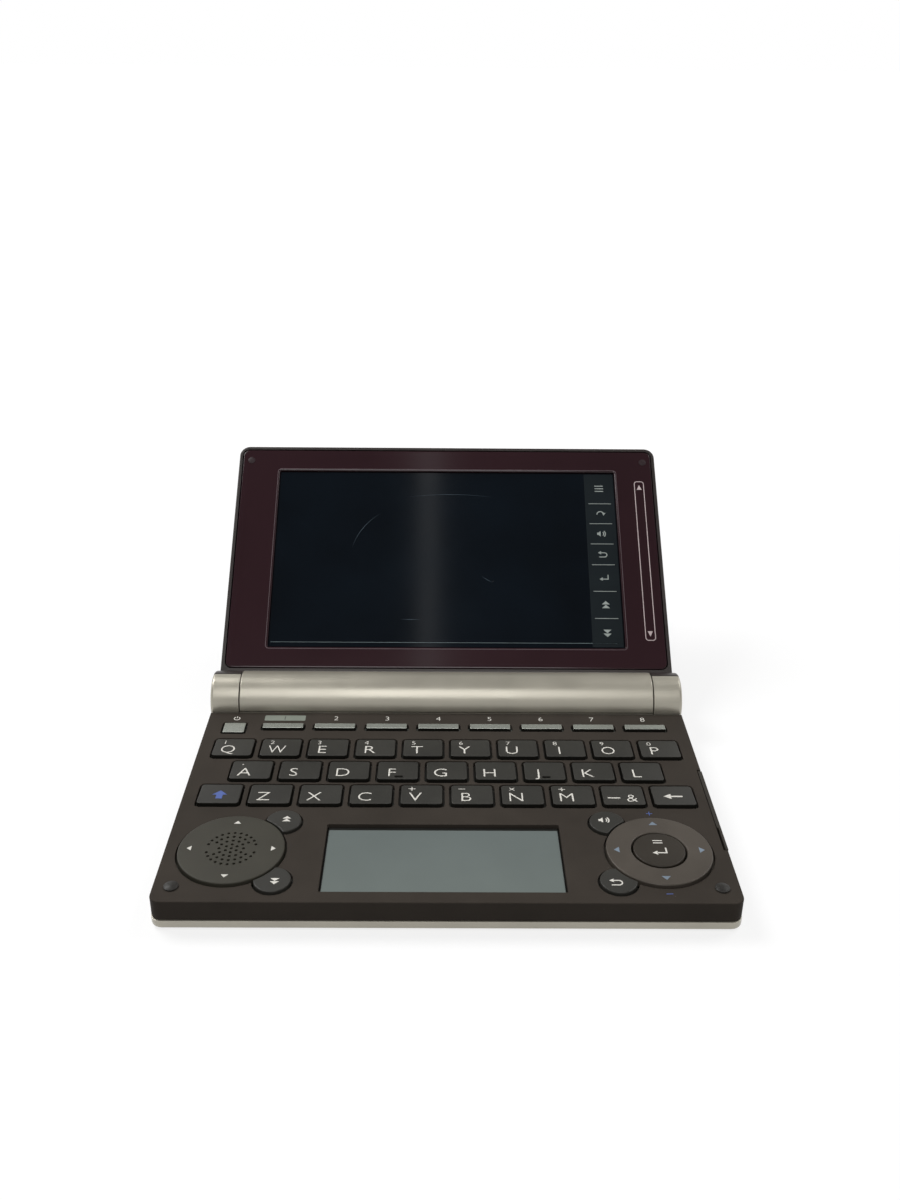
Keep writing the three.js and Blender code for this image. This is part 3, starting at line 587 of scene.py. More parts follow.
@dataclass(frozen=True)
class Finish:
    """A finish of moulded, painted or printed plastic: grain, uneven sheen and a little dust.

    Lengths are in millimetres and colours are 0 to 255.
    """

    name: str
    colour: Colour
    roughness: float
    metallic: float = 0.0
    coat: float = 0.0
    coat_roughness: float = 0.1
    specular: float = 0.5
    grain_size: float = 0.35
    grain_depth: float = 0.012
    patch_size: float = 14.0
    patch_contrast: float = 0.10
    sheen_contrast: float = 0.12
    dust: float = 0.10
    dust_colour: Colour = (200, 196, 188)
    speck_spacing: float = 2.6
    speck_radius: float = 0.09

    def material(self) -> Material:
        """The finish's material, built the first time it is asked for."""
        return bpy.data.materials.get(self.name) or self.build()

    def build(self) -> Material:
        """Builds the material.

        Returns:
            The material.
        """
        made = bpy.data.materials.new(self.name)
        made.use_nodes = True
        tree = made.node_tree
        place = add_node(tree, "ShaderNodeTexCoord").outputs["Object"]
        scales = {
            "Vector": place,
            "Grain Scale": 1 / (self.grain_size * MM),
            "Patch Scale": 1 / (self.patch_size * MM),
            "Speck Scale": 1 / (self.speck_spacing * MM),
            "Speck Size": self.speck_radius / self.speck_spacing,
        }
        marks = add_node(tree, "ShaderNodeGroup", scales, node_tree=surface_marks())
        low, high = self.roughness * (1 - self.sheen_contrast), self.roughness * (1 + self.sheen_contrast)
        sheen = {
            "Roughness": ranged(tree, marks.outputs["Patch"], PATCH_RANGE, low, high),
            "Metallic": self.metallic,
            "Coat Weight": self.coat,
            "Coat Roughness": self.coat_roughness,
            "Specular IOR Level": self.specular,
        }
        shader = tree.nodes["Principled BSDF"]
        fill(tree, shader, {"Base Color": self.coloured(tree, place, marks), **sheen})
        if self.grain_depth > 0:
            height = {"Height": marks.outputs["Grain"], "Distance": self.grain_depth * MM}
            fill(tree, shader, {"Normal": add_node(tree, "ShaderNodeBump", height).outputs[0]})
        return made

    def coloured(self, tree: NodeTree, place: NodeSocket, marks: Node) -> NodeSocket:
        """Colour with slow patches and specks of dust.

        Args:
            tree: The material's tree.
            place: Object coordinates.
            marks: The node of the marks' group.

        Returns:
            The colour's socket.
        """
        low, high = 1 - self.patch_contrast, 1 + self.patch_contrast
        patch = ranged(tree, marks.outputs["Patch"], PATCH_RANGE, low, high)
        both = {0: self.toned(tree, place), 1: patch}
        mottled = add_node(tree, "ShaderNodeVectorMath", both, operation="MULTIPLY").outputs[0]
        amount = calculated(tree, "MULTIPLY", marks.outputs["Speck"], self.dust)
        return self.mixed(tree, amount, mottled, linear(self.dust_colour))

    def toned(self, tree: NodeTree, place: NodeSocket) -> NodeSocket:
        """The clean colour, before patches and dust: one colour all over here.

        Args:
            tree: The material's tree.
            place: Object coordinates, for finishes whose colour changes with the place.

        Returns:
            The colour's socket.
        """
        made = add_node(tree, "ShaderNodeRGB")
        made.outputs[0].default_value = linear(self.colour)
        return made.outputs[0]

    @staticmethod
    def mixed(tree: NodeTree, share: object, first: object, second: object) -> NodeSocket:
        """Two colours or their sockets mixed, with the share of the second."""
        return add_node(tree, "ShaderNodeMix", {0: share, 6: first, 7: second}, data_type="RGBA").outputs[2]


@dataclass(frozen=True)
class FadedFinish(Finish):
    """A finish whose colour changes along one direction of the model, between two places in metres."""

    far_colour: Colour = (0, 0, 0)
    axis: int = 1
    near: float = 0.0
    far: float = 1.0

    def toned(self, tree: NodeTree, place: NodeSocket) -> NodeSocket:
        """The colour between the two ends.

        Args:
            tree: The material's tree.
            place: Object coordinates.

        Returns:
            The colour's socket.
        """
        along = add_node(tree, "ShaderNodeSeparateXYZ", {0: place}).outputs[self.axis]
        share = ranged(tree, along, (self.near, self.far), 0.0, 1.0)
        return self.mixed(tree, share, linear(self.colour), linear(self.far_colour))


@dataclass(frozen=True)
class ScratchedFinish(Finish):
    """A glossy finish with a few faint scratches, each a centre, a middle, a reach and a width in metres."""

    scratches: tuple[tuple[Point, Point, float, float], ...] = ()
    scratch_colour: Colour = (70, 82, 90)

    def coloured(self, tree: NodeTree, place: NodeSocket, marks: Node) -> NodeSocket:
        """Colour with the scratches laid over the rest.

        Args:
            tree: The material's tree.
            place: Object coordinates.
            marks: The node of the marks' group.

        Returns:
            The colour's socket.
        """
        colour = super().coloured(tree, place, marks)
        for centre, middle, reach, width in self.scratches:
            inputs = {"Vector": place, "Centre": centre, "Middle": middle, "Reach": reach, "Width": width}
            line = add_node(tree, "ShaderNodeGroup", inputs, node_tree=arc_scratch())
            colour = self.mixed(tree, line.outputs[0], colour, linear(self.scratch_colour))
        return colour


def on_glass(x: float, along: float) -> Point:
    """A place on the screen's glass, in metres."""
    return tuple(LID_PLACE @ Vector((x, along, GLASS_FACE)))


DARK_SHELL = Finish(
    "dark_shell_plastic", (58, 53, 48), 0.55, specular=0.04, grain_size=0.28, grain_depth=0.02
)
DARK_LID = Finish(
    "dark_lid_plastic", (46, 40, 38), 0.36, specular=0.45, grain_size=0.28, grain_depth=0.008
)
RUBBER = Finish("bump_rubber", (37, 35, 32), 0.45, specular=0.3, grain_depth=0.01, dust=0.2)
# Near-black colour for the keys' upright sides: painted shade where the sides fall in shadow. On the bar keys
# it also gives silver tops over dark bodies, and the raised marks on F and J take it as painted shadow.
KEY_SIDE_SHADE = Finish("key_side_painted_shade", (27, 26, 23), 0.5, specular=0.05, grain_depth=0.0)
STOPPER_RUBBER = Finish("stopper_rubber", (45, 32, 35), 0.5, specular=0.2, grain_depth=0.01, dust=0.2)
FOOT_RUBBER = Finish("foot_rubber", (52, 50, 48), 0.8, specular=0.3, grain_depth=0.03, dust=0.3)
CHAMPAGNE = Finish(
    "champagne_paint", (176, 171, 157), 0.36, metallic=0.55, coat=0.5, coat_roughness=0.25,
    grain_size=0.09, grain_depth=0.0025, patch_contrast=0.05, dust=0.04,
)
WINE = Finish(
    "wine_gloss", (43, 23, 28), 0.12, specular=0.35, grain_depth=0.0, patch_size=40.0, patch_contrast=0.12,
    dust=0.25, speck_spacing=6.0, speck_radius=0.06,
)
# A light line printed on the bezel just outside the window's rounded edge: a painted highlight along that
# edge.
WINDOW_EDGE_HIGHLIGHT = Finish(
    "window_edge_painted_highlight", (92, 78, 82), 0.3, specular=0.4, grain_depth=0.0, patch_contrast=0.15
)
KEY_PLASTIC = Finish("key_plastic", (49, 48, 44), 0.42, specular=0.3, grain_size=0.22, dust=0.08)
PAD_PLASTIC = Finish("pad_plastic", (57, 55, 47), 0.5, specular=0.25, grain_depth=0.015)
RING_PLASTIC = Finish("ring_plastic", (78, 72, 65), 0.42, metallic=0.1, specular=0.25, grain_depth=0.008)
ENTER_PLASTIC = Finish("enter_plastic", (48, 43, 36), 0.45, specular=0.25)
SILVER_KEY = Finish(
    "silver_key_paint", (172, 176, 167), 0.24, metallic=0.7, coat=0.3, grain_size=0.09,
    grain_depth=0.002, dust=0.05,
)
SCREEN_GLASS = ScratchedFinish(
    "screen_glass", (7, 14, 21), 0.09, specular=0.22, grain_depth=0.0, patch_size=30.0, patch_contrast=0.25,
    dust=0.3, speck_spacing=8.0, speck_radius=0.06,
    scratches=(
        (on_glass(-10.4, 49.7), on_glass(-28.9, 62.7), 0.0085, 0.00016),
        (on_glass(1.5, -26.0), on_glass(1.0, 76.2), 0.0150, 0.00012),
        (on_glass(-11.9, 128.0), on_glass(-11.9, 28.3), 0.0034, 0.00016),
        (on_glass(24.0, 60.0), on_glass(13.5, 43.2), 0.0022, 0.00014),
    ),
)
STRIP_GLASS = Finish(
    "touch_strip", (27, 33, 36), 0.14, specular=0.25, grain_depth=0.0, dust=0.08, speck_spacing=9.0
)
PANEL_GLASS = FadedFinish(
    "panel_glass", (104, 112, 109), 0.22, specular=0.25, grain_depth=0.0, patch_size=20.0,
    patch_contrast=0.04, speck_spacing=7.0, far_colour=(98, 106, 104), near=-0.083, far=-0.058,
)
PANEL_MASK = Finish("panel_mask", (26, 26, 24), 0.3, specular=0.3, grain_depth=0.0)
PRINTED = {"grain_depth": 0.0, "patch_size": 5.0, "patch_contrast": 0.06}
LIGHT_INK = Finish("light_ink", (212, 209, 201), 0.55, **PRINTED)
BLUE_INK = Finish("blue_ink", (72, 92, 155), 0.55, **PRINTED)
PANEL_INK = Finish("label_ink", (118, 124, 114), 0.5, **PRINTED)
GREY_INK = Finish("grey_ink", (146, 154, 150), 0.5, **PRINTED)
RING_INK = Finish("ring_ink", (122, 136, 150), 0.45, metallic=0.2, grain_depth=0.0, patch_size=5.0)
LINE_INK = Finish("line_ink", (186, 170, 170), 0.45, grain_depth=0.0, patch_size=9.0)
EDGE_LINE = Finish(
    "screen_edge_line", (84, 98, 100), 0.4, grain_depth=0.0, patch_size=9.0, patch_contrast=0.2
)
DARK_INK = Finish("dark_ink", (44, 44, 42), 0.5, grain_depth=0.0)
PEN_PLASTIC = Finish("pen_plastic", (50, 46, 40), 0.5, specular=0.25)
BOARD = Finish(
    "board_lacquer", (28, 84, 52), 0.4, coat=0.3, grain_size=1.4, grain_depth=0.02, patch_size=1.2,
    patch_contrast=0.35, dust=0.9, dust_colour=(196, 188, 150), speck_spacing=1.9, speck_radius=0.28,
)
SPEAKER_METAL = Finish(
    "speaker_metal", (150, 150, 150), 0.35, metallic=0.9, grain_size=0.5, grain_depth=0.01
)
CELL_SLEEVE = FadedFinish(
    "cell_sleeve", (60, 62, 64), 0.28, metallic=0.6, coat=0.6, grain_depth=0.0,
    far_colour=(198, 150, 84), axis=0, near=-0.0005, far=0.0005,
)


# Pieces


# The font size at which a capital is one unit high, half the characters' thickness, how far their outlines
# move, and the straight pieces in each of their curves
LETTER_SIZE = 1.42
LETTER_THICKNESS = 0.05
LETTER_GROWTH = -0.018
LETTER_STEPS = 3


def lettering(words: str) -> Mesh:
    """A word as a thin solid, its capitals one unit high, standing on its base line.

    Args:
        words: The characters.

    Returns:
        A mesh whose upper faces have a positive height.
    """
    known = bpy.data.meshes.get("lettering " + words)
    if known:
        return known
    curve = bpy.data.curves.new("lettering", "FONT")
    curve.body = words
    curve.align_x = "CENTER"
    curve.size = LETTER_SIZE
    curve.extrude = LETTER_THICKNESS
    curve.offset = LETTER_GROWTH
    curve.resolution_u = LETTER_STEPS
    holder = bpy.data.objects.new("lettering", curve)
    made = bpy.data.meshes.new_from_object(holder)
    made.name = "lettering " + words
    bpy.data.objects.remove(holder)
    bpy.data.curves.remove(curve)
    return made


class Workpiece:
    """A piece while it is shaped: a bmesh in millimetres, in the base's or the lid's own frame."""

    def __init__(self, name: str, place: Matrix, *finishes: Finish) -> None:
        """Starts an empty piece.

        Args:
            name: The piece's name.
            place: The move from its frame to the model's.
            finishes: Its finishes, the main one first.
        """
        self.name = name
        self.place = place
        self.finishes = list(finishes)
        self.mesh = bmesh.new()

    def ring(self, points: Iterable[Point]) -> list[BMVert]:
        """Adds a closed loop of edges.

        Args:
            points: Its corners.

        Returns:
            The corners.
        """
        corners = [self.mesh.verts.new(point) for point in points]
        for i, corner in enumerate(corners):
            self.mesh.edges.new((corners[i - 1], corner))
        return corners

    def rim(self, corners: Sequence[BMVert]) -> list[BMEdge]:
        """The edges between a loop's corners."""
        return [self.mesh.edges.get((corners[i - 1], corner)) for i, corner in enumerate(corners)]

    def extend(self, corners: Sequence[BMVert], points: Iterable[Point]) -> list[BMVert]:
        """Extrudes a loop and moves the new one to its place.

        Args:
            corners: The loop's corners.
            points: Places of the new corners.

        Returns:
            The new corners.
        """
        made = bmesh.ops.extrude_edge_only(self.mesh, edges=self.rim(corners))["geom"]
        fresh = {item for item in made if isinstance(item, BMVert)}
        followers = []
        for corner, point in zip(corners, points):
            others = (edge.other_vert(corner) for edge in corner.link_edges)
            follower = next(other for other in others if other in fresh)
            follower.co = point
            followers.append(follower)
        return followers

    def cap(self, corners: Sequence[BMVert]) -> None:
        """Closes a loop with one face."""
        bmesh.ops.edgeloop_fill(self.mesh, edges=self.rim(corners))

    def loft(self, rings: Sequence[Sequence[Point]], capped: bool = True) -> None:
        """Draws a skin over loops with equal numbers of corners.

        Args:
            rings: The loops' corners, in order.
            capped: Whether the first and the last loop are closed with faces.
        """
        first = corners = self.ring(rings[0])
        for points in rings[1:]:
            corners = self.extend(corners, points)
        if capped:
            self.cap(first)
            self.cap(corners)

    def prism(self, outline: Sequence[Flat], first: float, last: float) -> None:
        """Adds a solid of one outline between two heights."""
        self.loft([at_height(outline, first), at_height(outline, last)])

    def turned(self, profile: Sequence[Flat], line: Point, start: float, end: float, steps: int) -> None:
        """Spins a closed profile part of the way round an axis along X, and closes both ends.

        Args:
            profile: Its corners, each a place along the axis and a distance from it.
            line: A point of the axis.
            start: Angle of the first end, from the back upwards.
            end: Angle of the other end.
            steps: Number of straight pieces.
        """
        _, y, z = line
        corners = self.ring((x, y + r * math.cos(start), z + r * math.sin(start)) for x, r in profile)
        edges = self.rim(corners)
        turn = {"cent": line, "axis": (1, 0, 0), "angle": end - start, "steps": steps}
        made = bmesh.ops.spin(self.mesh, geom=[*edges, *corners], **turn)
        last = [item for item in made["geom_last"] if isinstance(item, BMEdge)]
        for loop in (edges, last):
            bmesh.ops.edgeloop_fill(self.mesh, edges=loop)

    def upright(self, profile: Outline, x: float, y: float, steps: int, closed: bool = False) -> None:
        """Spins a profile of radius and height all the way round an upright axis.

        Args:
            profile: Its points, the first and last one on the axis unless it is closed.
            x: The axis across.
            y: The axis along.
            steps: Number of straight pieces.
            closed: Whether the profile's last point joins its first.
        """
        corners = [self.mesh.verts.new((x + r, y, z)) for r, z in profile]
        pairs = list(zip(corners, corners[1:])) + ([(corners[-1], corners[0])] if closed else [])
        edges = [self.mesh.edges.new(pair) for pair in pairs]
        turn = {"cent": (x, y, 0), "axis": (0, 0, 1), "angle": math.tau, "steps": steps}
        bmesh.ops.spin(self.mesh, geom=[*edges, *corners], use_merge=True, **turn)

    def rod(self, radius: float, left: float, right: float, line: Point, steps: int = 48) -> None:
        """Adds a rod along X, through a point of its axis."""
        section = circle(radius, line[1], line[2], steps)
        self.loft([[(x, along, up) for along, up in section] for x in (left, right)])

    def post(self, radius: float, low: float, high: float, x: float, y: float, steps: int = 48) -> None:
        """Adds an upright post between two heights."""
        self.prism(circle(radius, x, y, steps), low, high)

    def box(self, low: Point, high: Point) -> None:
        """Adds a box between two corners."""
        size, middle = Vector(high) - Vector(low), (Vector(high) + Vector(low)) / 2
        place = Matrix.Translation(middle) @ Matrix.Diagonal((*size, 1))
        bmesh.ops.create_cube(self.mesh, size=1.0, matrix=place)

    def lined_hole(
        self, outline: Outline, high: float, low: float, margin: float, rounding: float, segments: int = 2
    ) -> list[BMVert]:
        """Adds the wall of a hole, or of an outer edge, with a strip of the upper surface along it.

        Args:
            outline: The hole, counter-clockwise.
            high: Height of the upper surface.
            low: Height of the lower one.
            margin: Width of the strip, outwards, or inwards if it is negative.
            rounding: Width of the bevel between wall and strip.
            segments: Number of strips in that bevel.

        Returns:
            The corners of the wall's lower end.
        """
        foot = self.ring(at_height(outline, low))
        edge = self.extend(foot, at_height(outline, high))
        self.extend(edge, at_height(grown(outline, margin), high))
        self.bevel(self.rim(edge), rounding, segments)
        return foot

    def fill_open(self, height: float) -> None:
        """Fills what is still open at one height, round the holes in it."""
        edges = [
            edge
            for edge in self.mesh.edges
            if len(edge.link_faces) < 2 and all(abs(corner.co.z - height) < WELD for corner in edge.verts)
        ]
        bmesh.ops.triangle_fill(self.mesh, edges=edges, use_beauty=True)

    def bevel(self, edges: Sequence[BMEdge], width: float, segments: int) -> None:
        """Rounds edges.

        Args:
            edges: The edges.
            width: Width of the bevel.
            segments: Its number of strips.
        """
        bmesh.ops.bevel(
            self.mesh,
            geom=list(edges),
            offset=width,
            offset_type="OFFSET",
            affect="EDGES",
            segments=segments,
            profile=0.5,
            material=-1,
            clamp_overlap=True,
        )

    def round(self, test: Callable[[Vector], bool], width: float, segments: int) -> None:
        """Rounds the sharp edges whose corners both pass a test.

        Args:
            test: The test of a corner's place.
            width: Width of the bevel.
            segments: Its number of strips.
        """
        self.mesh.normal_update()
        edges = [
            edge
            for edge in self.mesh.edges
            if len(edge.link_faces) == 2
            and all(test(corner.co) for corner in edge.verts)
            and abs(edge.link_faces[0].normal.dot(edge.link_faces[1].normal)) < math.cos(SHARP_TURN)
        ]
        self.bevel(edges, width, segments)

    def paint_new(self, known: set[BMFace], finish: Finish) -> None:
        """Gives a finish to the faces that have come since.

        Args:
            known: The faces that were there before.
            finish: The finish, added to the piece's own if it is new.
        """
        if finish not in self.finishes:
            self.finishes.append(finish)
        for face in set(self.mesh.faces) - known:
            face.material_index = self.finishes.index(finish)

    def paint_sides(self, finish: Finish) -> None:
        """Gives another finish to the faces that stand upright."""
        self.mesh.normal_update()
        self.paint_new({face for face in self.mesh.faces if abs(face.normal.z) > UPRIGHT_RISE}, finish)

    def print_shape(self, outline: Sequence[Flat], surface: Surface, ink: Finish, rise: float = INK) -> None:
        """Lays a thin print or a raised mark on a surface.

        Args:
            outline: The print's outline.
            surface: Height of the surface.
            ink: The print's finish.
            rise: How far it stands out.
        """
        known = set(self.mesh.faces)
        self.loft([[(x, y, surface(x, y) + height) for x, y in outline] for height in (-INK, rise)])
        self.paint_new(known, ink)

    def print_band(self, outline: Sequence[Flat], width: float, surface: Surface, ink: Finish) -> None:
        """Lays a thin closed line on a surface.

        Args:
            outline: The middle of the line, counter-clockwise.
            width: Its width.
            surface: Height of the surface.
            ink: The line's finish.
        """
        known = set(self.mesh.faces)
        sides = grown(outline, width / 2), grown(outline, -width / 2)
        order = ((0, -INK), (0, INK), (1, INK), (1, -INK), (0, -INK))
        rings = [[(x, y, surface(x, y) + rise) for x, y in sides[side]] for side, rise in order]
        self.loft(rings, capped=False)
        self.paint_new(known, ink)

    def print_sign(
        self, sign: Sign, size: float, x: float, y: float, surface: Surface, ink: Finish, turn: float = 0.0
    ) -> None:
        """Prints a sign of one height round its middle, turned counter-clockwise."""
        for outline in sign.outlines():
            self.print_shape(shifted(outline, x, y, turn, size), surface, ink)

    def print_text(
        self,
        words: str,
        height: float,
        x: float,
        y: float,
        surface: Surface,
        ink: Finish,
        stretch: float = 1.0,
    ) -> None:
        """Prints characters.

        Args:
            words: The characters.
            height: Height of a capital.
            x: Their middle across.
            y: Their middle along.
            surface: Height of the surface.
            ink: Their finish.
            stretch: How much wider than drawn they are.
        """
        corners, known = set(self.mesh.verts), set(self.mesh.faces)
        self.mesh.from_mesh(lettering(words))
        for corner in set(self.mesh.verts) - corners:
            across, along = x + stretch * height * corner.co.x, y + height * (corner.co.y - 0.5)
            corner.co = (across, along, surface(across, along) + math.copysign(INK, corner.co.z))
        self.paint_new(known, ink)

    def combine(self, others: Sequence["Workpiece"], cut: Cut) -> None:
        """Takes other solids away from this one, or adds them to it.

        Args:
            others: The other solids, which are used up.
            cut: Whether they are taken away or added.
        """
        holders = []
        for item in (self, *others):
            bmesh.ops.remove_doubles(item.mesh, verts=item.mesh.verts, dist=WELD)
            bmesh.ops.recalc_face_normals(item.mesh, faces=item.mesh.faces)
            data = bpy.data.meshes.new("cutting")
            item.mesh.to_mesh(data)
            item.mesh.free()
            holder = bpy.data.objects.new("cutting", data)
            bpy.context.scene.collection.objects.link(holder)
            holders.append(holder)
        for other in holders[1:]:
            modifier = holders[0].modifiers.new("cut", "BOOLEAN")
            modifier.operation = cut.value
            modifier.solver = "EXACT"
            modifier.object = other
        result = holders[0].evaluated_get(bpy.context.evaluated_depsgraph_get()).to_mesh()
        self.mesh = bmesh.new()
        self.mesh.from_mesh(result)
        for holder in holders:
            data = holder.data
            bpy.data.objects.remove(holder)
            bpy.data.meshes.remove(data)

    def finish(self, body: str, slot: str, stands_for: Sequence[str] = (), sharp: float = 42.0) -> Object:
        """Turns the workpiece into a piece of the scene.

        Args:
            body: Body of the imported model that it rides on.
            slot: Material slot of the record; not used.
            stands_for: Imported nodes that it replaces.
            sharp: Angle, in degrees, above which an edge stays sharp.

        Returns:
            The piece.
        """
        bmesh.ops.remove_doubles(self.mesh, verts=self.mesh.verts, dist=WELD)
        bmesh.ops.recalc_face_normals(self.mesh, faces=self.mesh.faces)
        self.mesh.transform(self.place)
        data = bpy.data.meshes.new(self.name)
        self.mesh.to_mesh(data)
        self.mesh.free()
        for finish in self.finishes:
            data.materials.append(finish.material())
        data.shade_smooth()
        data.set_sharp_from_angle(angle=math.radians(sharp))
        piece = bpy.data.objects.new(self.name, data)
        bpy.context.scene.collection.objects.link(piece)
        piece.modifiers.new("weighted_normals", "WEIGHTED_NORMAL").keep_sharp = True
        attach(piece, body.value if isinstance(body, Body) else body)
        if stands_for:
            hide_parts(*stands_for)
        LOG.info("%s: %d faces", self.name, len(data.polygons))
        return piece


def tools(*shapes: Callable[[Workpiece], None]) -> list[Workpiece]:
    """Solids to take away from a piece or to add to it, in that piece's frame.

    Args:
        shapes: What shapes each of them.

    Returns:
        One workpiece for each.
    """
    solids = [Workpiece("tool", BASE_PLACE) for _ in shapes]
    for solid, shape in zip(solids, shapes):
        shape(solid)
    return solids


def arm_rooms(made: Workpiece) -> None:
    """Shapes the room for the lid's arms, beyond both ends of the barrel."""
    for side in (-1, 1):
        left, right = side_span(side, HALF_BARREL, HALF_BASE + OVERRUN)
        made.rod(BARREL_RADIUS + ARM_RELIEF, left, right, HINGE_LINE, steps=96)


# Sub-assemblies


LETTER_ROWS = (
    ("shift", *"zxcvbnm", "symbol", "delete"),
    tuple("asdfghjkl"),
    tuple("qwertyuiop"),
)
FUNCTION_KEYS = tuple(f"function_key_{i}" for i in range(1, 9))
PAD_KEYS = {"page_up_key": (1, 1), "page_down_key": (1, -1)}
RING_KEYS = {"voice_key": (-1, 1), "back_key": (-1, -1)}
DIALS = ((PAD_X, PAD_KEYS), (RING_X, RING_KEYS))

# Each small round key's sign, its height and its turn
SIDE_SIGNS = {
    "page_up_key": (Sign.PAGES, 2.6, 0.0),
    "page_down_key": (Sign.PAGES, 2.6, math.pi),
    "voice_key": (Sign.SOUND, 3.0, 0.0),
    "back_key": (Sign.RETURN, 3.2, 0.0),
}


def side_key_centres(keys: dict[str, Flat]) -> list[Flat]:
    """Centres of the small round keys, from the round control's centre."""
    return [(SIDE_KEY_REACH[0] * side, SIDE_KEY_REACH[1] * end) for side, end in keys.values()]


@dataclass
class DeckShell:
    """The dark upper shell: the deck with its holes and prints, its walls and the pen's channel."""

    step: float = 0.15
    edge_round: float = 0.3
    edge_strip: float = 1.0
    hole_round: float = 0.14
    margin: float = 0.36
    window_radius: float = 0.4
    back_wall: float = 0.8
    channel_left: float = 70.7
    channel_wall: float = 0.6
    rib_reach: float = 2.1
    floor_reach: float = 1.0
    lip_slot_left: float = 72.65
    pen_front: float = 20.9
    head_back: float = 57.7
    channel_back: float = 83.9
    floor_thickness: float = 0.25
    socket_drop: float = 3.3
    jack_radius: float = 1.8
    jack_y: float = 62.0
    socket: Three = (7.4, 2.9, 46.0)
    socket_radius: float = 0.5
    label_rise: float = 5.2
    label_field: Flat = (3.0, 0.4)
    field_number: float = 2.1
    number_height: float = 2.3
    power_sign: Flat = (2.4, 5.4)
    ring_sign: float = 2.0
    plus_rise: float = 16.6
    minus_drop: float = 16.3
    bump_radius: float = 1.85
    bump_root: float = 0.6
    bump_wall: float = 0.35
    bump_height: float = 0.8
    bump_steps: int = 8
    bump_place: Flat = (69.1, 5.8)

    def build(self) -> None:
        """Builds the shell and its two bumps."""
        shell = Workpiece("deck_shell", BASE_PLACE, DARK_SHELL)
        self.plate(shell)
        shell.combine(tools(self.rib), Cut.ADD)
        shell.combine(tools(self.channel, self.lip_slot, self.sockets, arm_rooms), Cut.TAKE)
        shell.combine(tools(self.channel_floor), Cut.ADD)
        self.prints(shell)
        shell.finish(Body.BASE, "dark_shell", ["base_top_case"])
        self.bumps()

    def plate(self, shell: Workpiece) -> None:
        """Makes the deck with all its holes, and the walls down to the parting line."""
        back = DECK_DEPTH - FIT
        rim = base_outline(self.step, back)
        foot = shell.lined_hole(rim, 0.0, -UPPER_HEIGHT, -self.edge_strip, self.edge_round, segments=4)
        inner = base_outline(CASE_WALL, back - self.back_wall)
        shell.extend(shell.extend(foot, at_height(inner, -UPPER_HEIGHT)), at_height(inner, -DECK_THICKNESS))
        for outline in self.holes():
            shell.lined_hole(outline, 0.0, -DECK_THICKNESS, self.margin, self.hole_round)
        shell.fill_open(0.0)
        shell.fill_open(-DECK_THICKNESS)

    def holes(self) -> list[Outline]:
        """Outlines of the holes for the keys, the two round controls and the lower display.

        Returns:
            The outlines, counter-clockwise.
        """
        outlines = []
        letters = [f"key_{name}" for row in LETTER_ROWS for name in row]
        for node in (*letters, *FUNCTION_KEYS, "power_key"):
            seat = KeyPlace.of(node)
            radius = KEY_RADIUS if node in letters else BAR_RADIUS
            size = seat.width + 2 * KEY_GAP, seat.depth + 2 * KEY_GAP, radius + KEY_GAP
            outlines.append(rounded_rectangle(*size, seat.x, seat.y))
        width, depth, x, y = DISPLAY_WINDOW
        outlines.append(rounded_rectangle(width, depth, self.window_radius, x, y))
        radius, lobe = DIAL_RADIUS + KEY_GAP, SIDE_KEY_RADIUS + KEY_GAP
        for x, keys in DIALS:
            outlines.append(lobed_circle(radius, lobe, side_key_centres(keys), x, DIAL_Y))
        return outlines

    def rib(self, made: Workpiece) -> None:
        """Shapes the channel's inner wall."""
        left = self.channel_left - self.channel_wall
        front, back = self.pen_front - self.rib_reach, self.channel_back + self.rib_reach
        made.box((left, front, -UPPER_HEIGHT), (self.channel_left, back, -DECK_THICKNESS / 2))

    def channel(self, made: Workpiece) -> None:
        """Shapes the pen's channel."""
        right, low = HALF_BASE + OVERRUN, -UPPER_HEIGHT - OVERRUN
        made.box((self.channel_left, self.pen_front, low), (right, self.channel_back, -DECK_THICKNESS))

    def channel_floor(self, made: Workpiece) -> None:
        """Shapes the thin floor under the pen."""
        left, right = self.channel_left - self.channel_wall / 2, HALF_BASE - self.step
        front, back = self.pen_front - self.floor_reach, self.channel_back + self.floor_reach
        made.box((left, front, -UPPER_HEIGHT), (right, back, self.floor_thickness - UPPER_HEIGHT))

    def lip_slot(self, made: Workpiece) -> None:
        """Shapes the slot in the deck's edge, for the lip of the pen's head."""
        right, low = HALF_BASE + OVERRUN, -DECK_THICKNESS - OVERRUN
        made.box((self.lip_slot_left, self.pen_front, low), (right, self.head_back, OVERRUN))

    def sockets(self, made: Workpiece) -> None:
        """Shapes the round and the flat socket in the left wall."""
        left, right = -HALF_BASE - OVERRUN, -HALF_BASE + CASE_WALL + OVERRUN
        width, height, y = self.socket
        made.rod(self.jack_radius, left, right, (0, self.jack_y, -self.socket_drop), steps=32)
        flat = rounded_rectangle(width, height, self.socket_radius, y, -self.socket_drop)
        made.loft([[(x, along, up) for along, up in flat] for x in (left, right)])

    def prints(self, shell: Workpiece) -> None:
        """Prints plain numbers over the bar keys and a few generic signs on the deck."""
        deck = level(0.0)
        for number, node in enumerate(FUNCTION_KEYS, 1):
            seat = KeyPlace.of(node)
            y = seat.y + self.label_rise
            if number == 1:
                field = rounded_rectangle(seat.width, *self.label_field, seat.x, y)
                shell.print_shape(field, deck, PANEL_INK)
                shell.print_text(str(number), self.field_number, seat.x, y, level(INK), DARK_INK)
            else:
                shell.print_text(str(number), self.number_height, seat.x, y, deck, LIGHT_INK)
        power, (height, rise) = KeyPlace.of("power_key"), self.power_sign
        shell.print_sign(Sign.POWER, height, power.x, power.y + rise, deck, LIGHT_INK)
        shell.print_sign(Sign.PLUS, self.ring_sign, RING_X, DIAL_Y + self.plus_rise, deck, BLUE_INK)
        shell.print_sign(Sign.MINUS, self.ring_sign, RING_X, DIAL_Y - self.minus_drop, deck, BLUE_INK)

